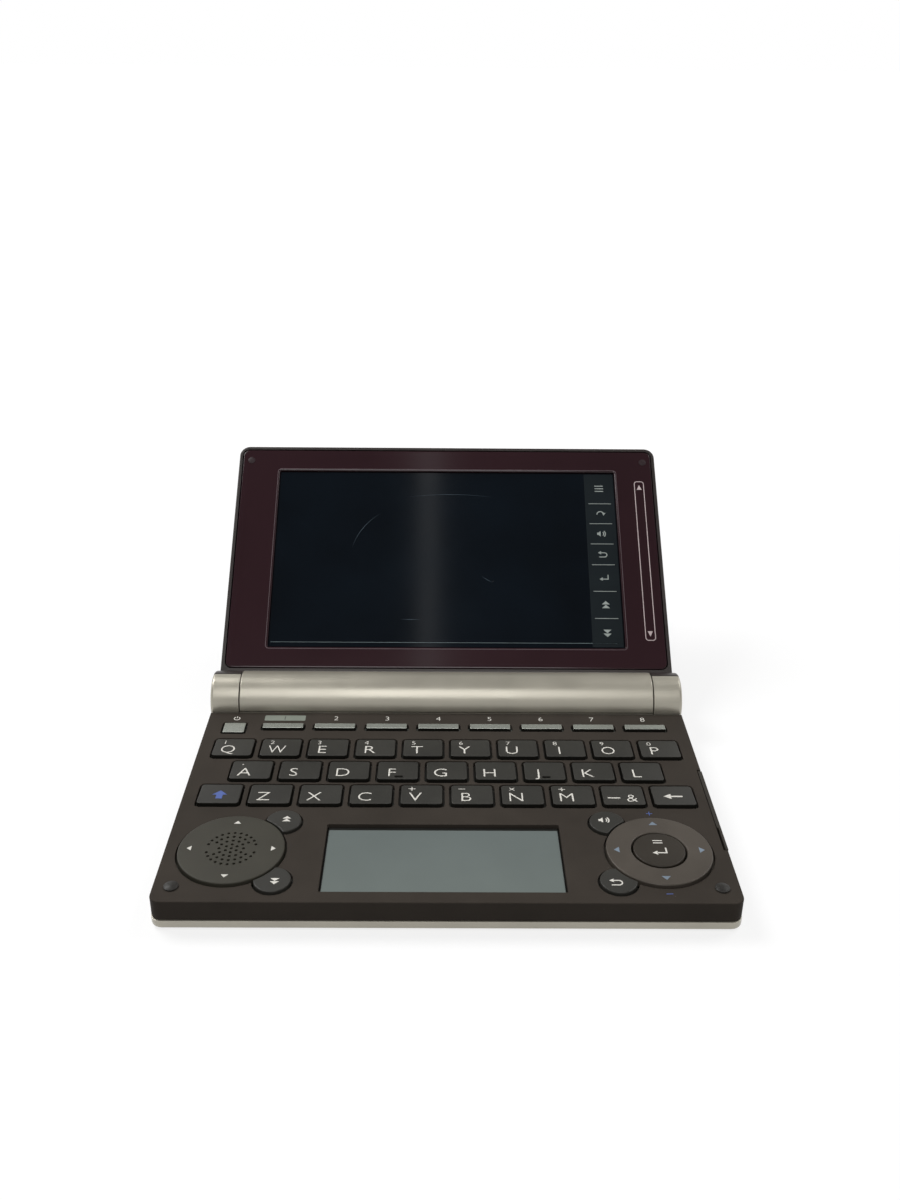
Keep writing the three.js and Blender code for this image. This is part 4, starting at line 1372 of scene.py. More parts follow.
    def bumps(self) -> None:
        """Builds the two low rubber bumps at the front corners."""
        made = Workpiece("front_bumps", BASE_PLACE, RUBBER)
        dome = self.bump_height - self.bump_wall
        radius = (self.bump_radius**2 + dome**2) / (2 * dome)
        edge = math.asin(self.bump_radius / radius)
        for side in (-1, 1):
            profile = [(0.0, -self.bump_root), (self.bump_radius, -self.bump_root)]
            for i in range(self.bump_steps + 1):
                angle = edge * (1 - i / self.bump_steps)
                profile.append((radius * math.sin(angle), self.bump_height - radius * (1 - math.cos(angle))))
            made.upright(profile, side * self.bump_place[0], self.bump_place[1], steps=40)
        made.finish(Body.BASE, "dark_shell")


@dataclass
class LowerShell:
    """The pale lower shell with the barrel's trough and end walls, and the four feet."""

    edge_round: float = 0.6
    top_round: float = 0.2
    floor: float = 1.4
    back_overlap: float = 0.1
    cell_radius: float = 7.2
    bearing: float = 2.0
    bay_wall: float = 1.6
    wall_overlap: float = 1.0
    trough_overlap: float = 0.4
    doorway_inside: float = 0.5
    pin_hole: float = 2.6
    post_radius: float = 2.0
    post_places: tuple[Flat, ...] = ((-38, 36.8), (38, 36.8), (-38, 76.0), (38, 76.0))
    board_bottom: float = -4.7
    speaker_radius: float = 8.0
    well_wall: float = 0.8
    well_height: float = 1.6
    foot_size: Three = (8.0, 6.0, 1.2)
    foot_height: float = 0.6
    foot_root: float = 0.5
    foot_round: float = 0.2
    front_feet: Flat = (60.0, 9.0)
    back_feet: Flat = (59.0, AXIS_Y - 2.0)

    def build(self) -> None:
        """Builds the shell and the feet."""
        shell = Workpiece("lower_shell", BASE_PLACE, CHAMPAGNE)
        self.tray(shell)
        shell.combine(tools(self.hollow, self.behind, self.bore, arm_rooms), Cut.TAKE)
        shell.combine(tools(self.posts, self.well, self.trough), Cut.ADD)
        shell.combine(tools(self.well_hollow, self.doorway), Cut.TAKE)
        shell.combine(tools(self.walls, self.wall_feet), Cut.ADD)
        shell.combine(tools(self.pin_holes), Cut.TAKE)
        shell.finish(Body.BASE, "pale_shell", ["base_bottom_case"])
        self.feet()

    def tray(self, shell: Workpiece) -> None:
        """Makes the tray's outside, round along its lower edge."""
        shell.prism(base_outline(0.0, AXIS_Y), -UPPER_HEIGHT - FIT, -BASE_HEIGHT)
        shell.round(lambda place: place.z < WELD - BASE_HEIGHT, self.edge_round, segments=5)
        shell.round(lambda place: place.z > -UPPER_HEIGHT - FIT - WELD, self.top_round, segments=2)

    def hollow(self, made: Workpiece) -> None:
        """Shapes the tray's inside."""
        made.prism(base_outline(CASE_WALL, DECK_DEPTH), self.floor - BASE_HEIGHT, 0.0)

    def behind(self, made: Workpiece) -> None:
        """Shapes what stays free over the floor, behind the tray."""
        low, high = self.floor - BASE_HEIGHT, -UPPER_HEIGHT + OVERRUN
        half, front = HALF_BASE + OVERRUN, DECK_DEPTH - self.back_overlap
        made.box((-half, front, low), (half, AXIS_Y + OVERRUN, high))

    def bore(self, made: Workpiece) -> None:
        """Shapes the barrel's inside."""
        made.rod(BARREL_INSIDE, -HALF_BARREL, HALF_BARREL, HINGE_LINE, steps=96)

    def posts(self, made: Workpiece) -> None:
        """Shapes the circuit board's posts."""
        for x, y in self.post_places:
            made.post(self.post_radius, self.floor / 2 - BASE_HEIGHT, self.board_bottom, x, y, steps=24)

    def well(self, made: Workpiece) -> None:
        """Shapes the outside of the speaker's well."""
        radius = self.speaker_radius + FIT + self.well_wall
        low, high = self.floor / 2 - BASE_HEIGHT, self.floor - BASE_HEIGHT + self.well_height
        made.post(radius, low, high, PAD_X, DIAL_Y)

    def well_hollow(self, made: Workpiece) -> None:
        """Shapes the inside of the speaker's well."""
        made.post(self.speaker_radius + FIT, self.floor - BASE_HEIGHT, 0.0, PAD_X, DIAL_Y)

    def trough(self, made: Workpiece) -> None:
        """Shapes the barrel's trough."""
        profile = wall_profile(-HALF_BARREL, HALF_BARREL, BARREL_INSIDE, BARREL_RADIUS)
        made.turned(profile, HINGE_LINE, *TROUGH_SPAN, steps=43)

    def doorway(self, made: Workpiece) -> None:
        """Shapes the opening that the battery door closes."""
        profile = wall_profile(-BAY_HALF, BAY_HALF, self.doorway_inside, BARREL_RADIUS + OVERRUN)
        made.turned(profile, HINGE_LINE, 1.5 * math.pi, math.tau, steps=24)

    def wall_spans(self) -> list[Flat]:
        """Left and right end of each of the barrel's four end walls."""
        places = ((HALF_BARREL - self.bearing, self.bearing), (BAY_HALF, self.bay_wall))
        return [side_span(side, near, near + thickness) for side in (-1, 1) for near, thickness in places]

    def walls(self, made: Workpiece) -> None:
        """Shapes the end walls."""
        for left, right in self.wall_spans():
            made.rod(self.cell_radius, left, right, HINGE_LINE, steps=72)

    def wall_feet(self, made: Workpiece) -> None:
        """Shapes what joins the end walls to the trough."""
        inner, outer = self.cell_radius - self.wall_overlap, BARREL_INSIDE + self.trough_overlap
        for left, right in self.wall_spans():
            made.turned(wall_profile(left, right, inner, outer), HINGE_LINE, *TROUGH_SPAN, steps=43)

    def pin_holes(self, made: Workpiece) -> None:
        """Shapes the bearings' holes."""
        for side in (-1, 1):
            left, right = side_span(side, HALF_BARREL - self.bearing - OVERRUN, HALF_BARREL + OVERRUN)
            made.rod(self.pin_hole, left, right, HINGE_LINE, steps=40)

    def feet(self) -> None:
        """Builds the four rubber feet."""
        made = Workpiece("feet", BASE_PLACE, FOOT_RUBBER)
        low = -BASE_HEIGHT - self.foot_height
        for x, y in (self.front_feet, self.back_feet):
            for side in (-1, 1):
                outline = rounded_rectangle(*self.foot_size, side * x, y)
                made.prism(outline, low, -BASE_HEIGHT + self.foot_root)
        made.round(lambda place: place.z < low + WELD, self.foot_round, segments=2)
        made.finish(Body.BASE, "pale_shell")


@dataclass
class Barrel:
    """The pale cover over the battery barrel and the battery door below it."""

    edge_round: float = 0.25
    ridge_angles: tuple[float, ...] = (300.0, 306.0, 312.0, 318.0, 324.0)
    ridge_width: float = math.radians(2.4)
    ridge_half: float = 6.0
    ridge_slope: float = 0.2
    ridge_root: float = 0.3
    ridge_rise: float = 0.2

    def build(self) -> None:
        """Builds the cover and the door."""
        cover = Workpiece("barrel_cover_skin", BASE_PLACE, CHAMPAGNE)
        self.shell(cover, HALF_BARREL, -DOOR_DROP, math.pi, steps=94)
        cover.finish(Body.BASE, "pale_shell", ["barrel_cover"])
        door = Workpiece("battery_door_skin", BASE_PLACE, CHAMPAGNE)
        self.shell(door, BAY_HALF - FIT, 1.5 * math.pi + SEAM_ANGLE, TROUGH_SPAN[1], steps=40)
        for degrees in self.ridge_angles:
            self.ridge(door, math.radians(degrees))
        door.finish(Body.DOOR, "pale_shell", ["battery_door"])

    def shell(self, made: Workpiece, half: float, start: float, end: float, steps: int) -> None:
        """Makes a part of the barrel's wall, round along its outer edges.

        Args:
            made: The piece.
            half: Half its length.
            start: Angle of its first edge.
            end: Angle of its other edge.
            steps: Number of straight pieces round it.
        """
        profile = wall_profile(-half, half, BARREL_INSIDE, BARREL_RADIUS)
        made.turned(profile, HINGE_LINE, start, end, steps)
        made.round(self.outside, self.edge_round, segments=3)

    @staticmethod
    def outside(place: Vector) -> bool:
        """Whether a place is on the barrel's outside."""
        return math.hypot(place.y - AXIS_Y, place.z - BARREL_RISE) > BARREL_RADIUS - TOUCH

    def ridge(self, door: Workpiece, angle: float) -> None:
        """Adds a ridge for the thumb."""
        low, high = BARREL_RADIUS - self.ridge_root, BARREL_RADIUS + self.ridge_rise
        half, top_half = self.ridge_half, self.ridge_half - self.ridge_slope
        profile = [(-half, low), (half, low), (top_half, high), (-top_half, high)]
        door.turned(profile, HINGE_LINE, angle, angle + self.ridge_width, steps=2)


@dataclass
class Keyboard:
    """The letter keys, the bar keys and the power key."""

    back_rise: float = 0.15
    taper: float = 0.12
    key_round: float = 0.2
    bar_round: float = 0.18
    letter_height: float = 4.4
    letter_place: Flat = (-1.8, -1.2)
    small_height: float = 2.05
    small_place: Flat = (-2.8, 2.85)
    small_sign: float = 2.3
    dot_height: float = 0.8
    shift_sign: Flat = (4.4, -0.6)
    erase_sign: Flat = (4.2, -0.6)
    dash: Three = (4.2, -2.7, -1.5)
    ampersand: Three = (3.8, 2.3, -1.5)
    mark_size: Three = (2.4, 0.55, 0.25)
    mark_rise: float = 0.25
    mark_place: Flat = (0.3, -3.6)
    narrow_letters: tuple[tuple[str, float, float], ...] = (
        ("q", 0.93, 0.35),
        ("w", 0.82, 0.75),
        ("o", 0.88, 0.4),
    )

    def build(self) -> None:
        """Builds every key of the four rows."""
        for row in LETTER_ROWS:
            for name in row:
                self.letter_key(name)
        for node in (*FUNCTION_KEYS, "power_key"):
            self.bar_key(node)

    def cap(self, made: Workpiece, seat: KeyPlace, radius: float, surface: Surface, rounding: float) -> None:
        """Makes a key: its flange under the deck and its cap, round along the top.

        Args:
            made: The piece.
            seat: The key's seat.
            radius: Radius of the cap's corners.
            surface: Height of its top.
            rounding: Width of the bevel along the top.
        """
        reach = 2 * FLANGE_REACH
        place = seat.x, seat.y
        flange = rounded_rectangle(seat.width + reach, seat.depth + reach, radius + FLANGE_REACH, *place)
        cap = rounded_rectangle(seat.width, seat.depth, radius, *place)
        top = grown(cap, -self.taper)
        rings = [at_height(flange, KEY_FOOT), at_height(flange, FLANGE_TOP), at_height(cap, FLANGE_TOP)]
        made.loft([*rings, [(x, y, surface(x, y)) for x, y in top]])
        made.round(lambda corner: corner.z > 0, rounding, segments=3)
        # The upright sides take the painted side shade.
        made.paint_sides(KEY_SIDE_SHADE)

    def letter_key(self, name: str) -> None:
        """Builds one key of the letter rows, whose top falls from its front edge to its back edge."""
        node = f"key_{name}"
        seat = KeyPlace.of(node)
        slope = (self.back_rise - seat.top) / seat.depth

        def surface(_: float, y: float) -> float:
            """Height of the key's top at one place along."""
            return seat.top + slope * (y - seat.y + seat.depth / 2)

        made = Workpiece(f"{node}_cap", BASE_PLACE, KEY_PLASTIC)
        self.cap(made, seat, KEY_RADIUS, surface, self.key_round)
        self.legend(made, name, seat, surface)
        made.finish(node, "key", [node])

    def legend(self, made: Workpiece, name: str, seat: KeyPlace, surface: Surface) -> None:
        """Prints what stands on a key of the letter rows.

        Args:
            made: The key.
            name: Its letter or its name.
            seat: Its seat.
            surface: Height of its top.
        """
        x, y = seat.x + self.letter_place[0], seat.y + self.letter_place[1]
        small_x, small_y = seat.x + self.small_place[0], seat.y + self.small_place[1]
        alone = {"shift": (Sign.SHIFT, BLUE_INK, *self.shift_sign)}
        alone["delete"] = (Sign.ERASE, LIGHT_INK, *self.erase_sign)
        if name in alone:
            sign, ink, size, rise = alone[name]
            made.print_sign(sign, size, seat.x, seat.y + rise, surface, ink)
            return
        if name == "symbol":
            size, across, along = self.dash
            made.print_sign(Sign.MINUS, size, seat.x + across, seat.y + along, surface, LIGHT_INK)
            size, across, along = self.ampersand
            made.print_text("&", size, seat.x + across, seat.y + along, surface, LIGHT_INK)
            return
        fitted = {known: (stretch, shift) for known, stretch, shift in self.narrow_letters}
        stretch, shift = fitted.get(name, (1.0, 0.0))
        made.print_text(name.upper(), self.letter_height, x + shift, y, surface, LIGHT_INK, stretch)
        top_row = LETTER_ROWS[-1]
        if name in top_row:
            digit = str((top_row.index(name) + 1) % len(top_row))
            made.print_text(digit, self.small_height, small_x, small_y, surface, LIGHT_INK)
        signs = {"v": Sign.PLUS, "b": Sign.MINUS, "n": Sign.TIMES, "m": Sign.DIVIDE, "a": Sign.DOT}
        if name in signs:
            size = self.dot_height if signs[name] is Sign.DOT else self.small_sign
            made.print_sign(signs[name], size, small_x, small_y, surface, LIGHT_INK)
        if name in "fj":
            across, along = self.mark_place
            mark = rounded_rectangle(*self.mark_size, seat.x + across, seat.y + along)
            # The raised mark takes the painted side shade, which stands in for its shadow.
            made.print_shape(mark, surface, KEY_SIDE_SHADE, self.mark_rise)

    def bar_key(self, node: str) -> None:
        """Builds a bar key or the power key."""
        seat = KeyPlace.of(node)
        made = Workpiece(f"{node}_cap", BASE_PLACE, SILVER_KEY)
        self.cap(made, seat, BAR_RADIUS, level(seat.top), self.bar_round)
        made.finish(node, "silver_key", [node])


@dataclass
class RoundControls:
    """The perforated pad, the four-way ring with its enter key, and the four small round keys beside them."""

    pad_plate: float = 1.2
    pad_skirt: float = 1.3
    dial_rise: float = 0.8
    edge_round: float = 0.35
    enter_radius: float = 6.8
    enter_rise: float = 0.9
    equals_sign: Flat = (3.0, 3.2)
    enter_sign: Flat = (3.8, -0.8)
    pad_arrow: Flat = (1.9, 11.0)
    ring_arrow: Flat = (2.3, 11.2)
    side_rise: float = 0.7
    side_round: float = 0.3
    side_sign_share: float = 1.06
    hole_radius: float = 0.42
    hole_pitch: float = 1.6
    hole_rings: int = 4
    hole_gap: float = math.radians(14)

    def build(self) -> None:
        """Builds the pad, the ring, the enter key and the small keys."""
        self.pad()
        self.ring()
        self.enter()
        for dial, keys in DIALS:
            for node, (side, end) in keys.items():
                self.side_key(node, dial, side * SIDE_KEY_REACH[0], end * SIDE_KEY_REACH[1])

    def sound_places(self) -> list[Flat]:
        """Places of the sound holes: rings round one in the middle, with a gap at the left and the right.

        Returns:
            The places, from the pad's centre.
        """
        places = [(0.0, 0.0)]
        for number in range(1, self.hole_rings + 1):
            around = arc(number * self.hole_pitch, math.pi / 2, 2.5 * math.pi, steps=6 * number)[:-1]
            for x, y in around:
                in_gap = abs(y) < math.hypot(x, y) * math.sin(self.hole_gap)
                if not (in_gap and number > self.hole_rings / 2):
                    places.append((x, y))
        return places

    def side_rooms(self, dial: float, keys: dict[str, Flat]) -> Workpiece:
        """Shapes the room for the small keys' flanges.

        Args:
            dial: The round control's centre across.
            keys: The small keys beside it.

        Returns:
            The rooms, to cut with.
        """
        made = Workpiece("tool", BASE_PLACE)
        radius = SIDE_KEY_RADIUS + FLANGE_REACH + FIT
        for across, along in side_key_centres(keys):
            made.post(radius, KEY_FOOT - OVERRUN, FLANGE_TOP + FIT, dial + across, DIAL_Y + along)
        return made

    def arrows(self, made: Workpiece, dial: float, arrow: Flat, ink: Finish) -> None:
        """Prints four arrows that point away from a round control's centre.

        Args:
            made: The control.
            dial: Its centre across.
            arrow: Each arrow's size and its distance from the centre.
            ink: Their finish.
        """
        size, reach = arrow
        for number in range(4):
            turn = number * math.pi / 2
            x, y = shifted([(0.0, reach)], dial, DIAL_Y, turn)[0]
            made.print_sign(Sign.UP, size, x, y, level(self.dial_rise), ink, turn)

    def pad(self) -> None:
        """Builds the pad over the speaker."""
        made = Workpiece("speaker_pad_cap", BASE_PLACE, PAD_PLASTIC)
        flange, under = DIAL_RADIUS + FLANGE_REACH, self.dial_rise - self.pad_plate
        inside = DIAL_RADIUS - self.pad_skirt
        profile = [(0.0, under), (inside, under), (inside, KEY_FOOT), (flange, KEY_FOOT)]
        profile += [(flange, FLANGE_TOP), (DIAL_RADIUS, FLANGE_TOP)]
        profile += [(DIAL_RADIUS, self.dial_rise), (0.0, self.dial_rise)]
        made.upright(profile, PAD_X, DIAL_Y, steps=96)
        made.round(lambda place: place.z > self.dial_rise - WELD, self.edge_round, segments=4)
        holes, low, high = Workpiece("tool", BASE_PLACE), under - OVERRUN, self.dial_rise + OVERRUN
        for x, y in self.sound_places():
            holes.post(self.hole_radius, low, high, PAD_X + x, DIAL_Y + y, steps=14)
        made.combine([holes, self.side_rooms(PAD_X, PAD_KEYS)], Cut.TAKE)
        self.arrows(made, PAD_X, self.pad_arrow, LIGHT_INK)
        made.finish("speaker_pad", "pad", ["speaker_pad"])

    def ring(self) -> None:
        """Builds the four-way ring."""
        made = Workpiece("nav_ring_cap", BASE_PLACE, RING_PLASTIC)
        flange, inside = DIAL_RADIUS + FLANGE_REACH, self.enter_radius + KEY_GAP
        profile = [(inside, KEY_FOOT), (flange, KEY_FOOT), (flange, FLANGE_TOP), (DIAL_RADIUS, FLANGE_TOP)]
        profile += [(DIAL_RADIUS, self.dial_rise), (inside, self.dial_rise)]
        made.upright(profile, RING_X, DIAL_Y, steps=96, closed=True)
        made.round(lambda place: place.z > self.dial_rise - WELD, self.edge_round, segments=4)
        made.combine([self.side_rooms(RING_X, RING_KEYS)], Cut.TAKE)
        self.arrows(made, RING_X, self.ring_arrow, RING_INK)
        made.finish("nav_ring", "ring", ["nav_ring"])

    def enter(self) -> None:
        """Builds the enter key."""
        made = Workpiece("enter_key_cap", BASE_PLACE, ENTER_PLASTIC)
        radius, top = self.enter_radius, self.enter_rise
        profile = [(0.0, KEY_FOOT), (radius, KEY_FOOT), (radius, top), (0.0, top)]
        made.upright(profile, RING_X, DIAL_Y, steps=72)
        made.round(lambda place: place.z > top - WELD, self.edge_round, segments=4)
        for sign, (size, rise) in ((Sign.EQUALS, self.equals_sign), (Sign.ENTER, self.enter_sign)):
            made.print_sign(sign, size, RING_X, DIAL_Y + rise, level(top), LIGHT_INK)
        made.finish("enter_key", "pad", ["enter_key"])

    def side_key(self, node: str, dial: float, across: float, along: float) -> None:
        """Builds a small round key with its bite.

        Args:
            node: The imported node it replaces.
            dial: Centre of the round control beside it.
            across: The key's centre across, from that.
            along: The key's centre along, from that.
        """
        made = Workpiece(f"{node}_cap", BASE_PLACE, KEY_PLASTIC)
        bite = DIAL_RADIUS + KEY_GAP
        cap = shifted(bitten_circle(SIDE_KEY_RADIUS, across, along, bite), dial + across, DIAL_Y + along)
        flange_radius = SIDE_KEY_RADIUS + FLANGE_REACH
        flange = shifted(bitten_circle(flange_radius, across, along, bite), dial + across, DIAL_Y + along)
        rings = [at_height(flange, KEY_FOOT), at_height(flange, FLANGE_TOP), at_height(cap, FLANGE_TOP)]
        made.loft([*rings, at_height(cap, self.side_rise)])
        made.round(lambda place: place.z > 0, self.side_round, segments=3)
        sign, size, turn = SIDE_SIGNS[node]
        x, y = dial + across * self.side_sign_share, DIAL_Y + along * self.side_sign_share
        made.print_sign(sign, size, x, y, level(self.side_rise), LIGHT_INK, turn)
        made.finish(node, "key", [node])


@dataclass
class LowerDisplay:
    """The small display behind its window in the deck."""

    recess: float = 0.9
    # The dark glass left round the panel at its sides, front and back. The wider band at the back is partly
    # the display's border and partly painted shade below the window's back edge.
    panel_margins: Three = (0.5, 0.6, 1.5)
    panel_radius: float = 0.1
    module_margin: float = 1.7
    module_thickness: float = 1.9
    module_radius: float = 0.5
    glass_root: float = 0.9
    glass_radius: float = 0.2
    glass_round: float = 0.12

    def build(self) -> None:
        """Builds the display's module and glass."""
        width, depth, x, y = DISPLAY_WINDOW
        made = Workpiece("lower_display", BASE_PLACE, PANEL_MASK)
        margin = 2 * self.module_margin
        module = rounded_rectangle(width + margin, depth + margin, self.module_radius, x, y)
        made.prism(module, FLANGE_TOP - self.module_thickness, FLANGE_TOP)
        glass = rounded_rectangle(width - 2 * FIT, depth - 2 * FIT, self.glass_radius, x, y)
        made.prism(glass, FLANGE_TOP - self.glass_root, -self.recess)
        made.round(lambda place: place.z > -self.recess - WELD, self.glass_round, segments=2)
        # The wider dark band at the back is partly painted shade from the window's back edge.
        side, front, back = self.panel_margins
        width, depth, y = width - 2 * side, depth - front - back, y + (front - back) / 2
        panel = rounded_rectangle(width, depth, self.panel_radius, x, y)
        made.print_shape(panel, level(-self.recess), PANEL_GLASS)
        made.finish(Body.BASE, "panel", ["sub_display"])


@dataclass
class Pen:
    """The pen in the right edge: a head with a lip in line with the deck, and a shaft with a point."""

    right: float = 73.95
    width: float = 2.9
    height: float = 3.5
    edge_round: float = 0.15
    lip: float = 1.05
    nail_lip: float = 0.65
    lip_overlap: float = 1.0
    head_front: float = 21.2
    nail_back: float = 30.5
    head_back: float = 56.9
    end: float = 83.6
    shaft_root: float = 1.0
    shaft_radius: float = 1.4
    tip_length: float = 3.6
    tip_radius: float = 0.5
    tip_round: float = 0.3
    tip_shares: Flat = (1.3, 0.5)

    def build(self) -> None:
        """Builds the pen."""
        made = Workpiece("stylus_pen", BASE_PLACE, PEN_PLASTIC)
        low, left = FLANGE_TOP - self.height, self.right - self.width
        made.box((left, self.head_front, low), (self.right, self.head_back, FLANGE_TOP))
        made.combine(tools(self.wide_lip, self.thin_lip), Cut.ADD)
        made.round(lambda place: True, self.edge_round, segments=2)
        x, z = self.right - self.width / 2, FLANGE_TOP - self.height / 2
        shoulder, point = (self.tip_radius * share for share in self.tip_shares)
        stations = (
            (self.head_back - self.shaft_root, self.shaft_radius),
            (self.end - self.tip_length, self.shaft_radius),
            (self.end - self.tip_round, shoulder),
            (self.end, point),
        )
        made.loft([[(px, along, pz) for px, pz in circle(r, x, z, steps=28)] for along, r in stations])
        made.finish(Body.PEN, "pen", ["stylus"])

    def wide_lip(self, made: Workpiece) -> None:
        """Shapes the lip that fills the slot in the deck's edge."""
        front, low = self.nail_back, FLANGE_TOP - self.height / 2
        made.box((self.right - self.lip, front, low), (self.right, self.head_back, 0.0))

    def thin_lip(self, made: Workpiece) -> None:
        """Shapes the thinner lip in front of it, which a nail can reach behind."""
        front, low = self.head_front, FLANGE_TOP - self.height / 2
        back = self.nail_back + self.lip_overlap
        made.box((self.right - self.nail_lip, front, low), (self.right, back, 0.0))


@dataclass
class Lid:
    """The lid: dark back cover with its arms, wine-red bezel, screen, stoppers and the two hinge caps."""

    half_width: float = 73.3
    bottom: float = 9.3
    top: float = 94.92
    back: float = -7.1
    skin: float = 1.2
    rim: float = 1.1
    corner: float = 3.5
    face_strip: float = 0.45
    face_round: float = 0.22
    back_round: float = 2.5
    arm_root: float = 5.0
    arm_from: float = math.radians(-57)
    arm_to: float = math.radians(48.5)
    hub: float = 3.5
    pin: float = 2.3
    cap_wall: float = 1.5
    cap_round: float = 0.9
    pin_end: float = 55.1
    bezel_thickness: float = 1.2
    bezel_strip: float = 0.6
    bezel_round: float = 0.3
    window: Four = (117.4, 67.1, 0.0, 51.65)
    window_radius: float = 0.5
    window_strip: float = 1.0
    window_round: float = 0.55
    # Gap from the window's rounding, and width of the painted highlight line beside it.
    window_line: Flat = (0.12, 0.2)
    stopper: Three = (69.0, 89.3, 1.25)
    stopper_root: float = 0.3
    stopper_rise: float = 0.1
    stopper_dome: float = 0.02
    stopper_round: float = 0.08
    scroll: Four = (3.2, 60.5, 67.2, 51.15)
    scroll_radius: float = 0.9
    scroll_line: float = 0.28
    scroll_arrow: Flat = (1.7, 1.9)
    arrow_inset: float = 2.3
    module_margin: float = 2.2
    module_thickness: float = 2.4
    module_radius: float = 0.5
    glass_root: float = 1.2
    glass_radius: float = 0.3
    strip_left: float = 47.9
    strip_margins: Flat = (0.3, 0.5)
    strip_radius: float = 0.2
    strip_sign: float = 3.0
    strip_lines: tuple[float, ...] = (72.8, 64.9, 57.0, 49.0, 39.0, 29.0)
    strip_line: Flat = (3.9, 0.2)
    edge_line: Four = (0.6, 2.2, 1.6, 0.18)

    def build(self) -> None:
        """Builds the lid's pieces."""
        self.cover()
        self.bezel()
        self.stoppers()
        self.screen()
        for side, name in ((-1, "left"), (1, "right")):
            self.hinge_cap(side, f"hinge_cap_{name}")

    def outline(self) -> Outline:
        """Points round the back cover, with the roots of its arms.

        Returns:
            The points, counter-clockwise.
        """
        right, top = self.half_width, self.top - self.corner
        corners = arc(self.corner, 0, math.pi / 2, right - self.corner, top, steps=8)
        corners += arc(self.corner, math.pi / 2, math.pi, self.corner - right, top, steps=8)
        foot = [(-right, self.arm_root), (-CAP_INSIDE, self.arm_root), (-CAP_INSIDE, self.bottom)]
        foot += [(CAP_INSIDE, self.bottom), (CAP_INSIDE, self.arm_root), (right, self.arm_root)]
        return foot + corners

    def inner_outline(self, inset: float) -> Outline:
        """Points round the lid without its arms, some way inside its edge.

        Args:
            inset: How far inside.

        Returns:
            The points, counter-clockwise.
        """
        middle, height = (self.top + self.bottom) / 2, self.top - self.bottom - 2 * inset
        width = 2 * (self.half_width - inset)
        return rounded_rectangle(width, height, self.corner - inset, 0, middle, steps=6)

    def cover(self) -> None:
        """Builds the dark back cover."""
        made = Workpiece("lid_back", LID_PLACE, DARK_LID)
        foot = made.lined_hole(self.outline(), LID_FACE, self.back, -self.face_strip, self.face_round)
        made.cap(foot)
        pocket = self.inner_outline(self.rim)
        edge = made.ring(at_height(pocket, LID_FACE))
        made.cap(made.extend(edge, at_height(pocket, self.back + self.skin)))
        made.fill_open(LID_FACE)
        made.round(lambda place: place.z < self.back + WELD, self.back_round, segments=7)
        for side in (-1, 1):
            profile = wall_profile(side * CAP_INSIDE, side * HALF_BASE, self.hub + FIT, BARREL_RADIUS)
            made.turned(profile, LID_LINE, self.arm_from, self.arm_to, steps=44)
        made.round(self.end_rim, self.cap_round, segments=5)
        made.finish(Body.LID, "dark_shell", ["lid_back_cover"])

    @staticmethod
    def end_rim(place: Vector) -> bool:
        """Whether a place is on the outer rim of the barrel's end."""
        return abs(place.x) > HALF_BASE - WELD and math.hypot(place.y, place.z) > BARREL_RADIUS - TOUCH

    def bezel(self) -> None:
        """Builds the glossy bezel with the scroll strip's outline."""
        made = Workpiece("bezel", LID_PLACE, WINE)
        low, face = LID_FACE - self.bezel_thickness, level(LID_FACE)
        outline = self.inner_outline(self.rim + FIT)
        made.lined_hole(outline, LID_FACE, low, -self.bezel_strip, self.bezel_round, segments=3)
        width, depth, x, y = self.window
        edge = rounded_rectangle(width, depth, self.window_radius, x, y)
        made.lined_hole(edge, LID_FACE, low, self.window_strip, self.window_round, segments=3)
        made.fill_open(LID_FACE)
        made.fill_open(low)
        # A light line just outside the window's rounding: painted highlight of the lit edge.
        apart, width = self.window_line
        made.print_band(grown(edge, self.window_round + apart), width, face, WINDOW_EDGE_HIGHLIGHT)
        width, height, x, y = self.scroll
        frame_line = rounded_rectangle(width, height, self.scroll_radius, x, y)
        made.print_band(frame_line, self.scroll_line, face, LINE_INK)
        top, foot = y + height / 2 - self.arrow_inset, y - height / 2 + self.arrow_inset
        for middle, turn in ((top, 0.0), (foot, math.pi)):
            made.print_shape(shifted(triangle(*self.scroll_arrow), x, middle, turn), face, LINE_INK)
        made.finish(Body.LID, "bezel", ["lid_bezel"])

    def stoppers(self) -> None:
        """Builds the two small round stoppers in the bezel's top corners."""
        made = Workpiece("lid_stoppers", LID_PLACE, STOPPER_RUBBER)
        x, y, radius = self.stopper
        low, high = LID_FACE - self.stopper_root, LID_FACE + self.stopper_rise
        profile = [(0, low), (radius, low), (radius, high), (0, high + self.stopper_dome)]
        for side in (-1, 1):
            made.upright(profile, side * x, y, steps=36)
        made.round(lambda place: place.z > high - WELD, self.stopper_round, segments=2)
        made.finish(Body.LID, "dark_shell")

    def screen(self) -> None:
        """Builds the display's module and its glass, with the touch strip's generic signs."""
        made = Workpiece("screen", LID_PLACE, SCREEN_GLASS)
        width, depth, x, y = self.window
        module_top, margin = LID_FACE - self.bezel_thickness - FIT, 2 * self.module_margin
        module = rounded_rectangle(width + margin, depth + margin, self.module_radius, x, y)
        made.prism(module, module_top - self.module_thickness, module_top)
        glass = rounded_rectangle(width - 2 * FIT, depth - 2 * FIT, self.glass_radius, x, y)
        made.prism(glass, module_top - self.glass_root, GLASS_FACE)
        half, low, high = width / 2 - FIT, y - depth / 2 + FIT, y + depth / 2 - FIT
        self.touch_strip(made, half, low, high)
        left, right, rise, thickness = self.edge_line
        line = stroke([(-half + left, low + rise), (half - right, low + rise)], thickness)
        made.print_shape(line, level(GLASS_FACE), EDGE_LINE)
        made.finish(Body.LID, "screen", ["main_display"])

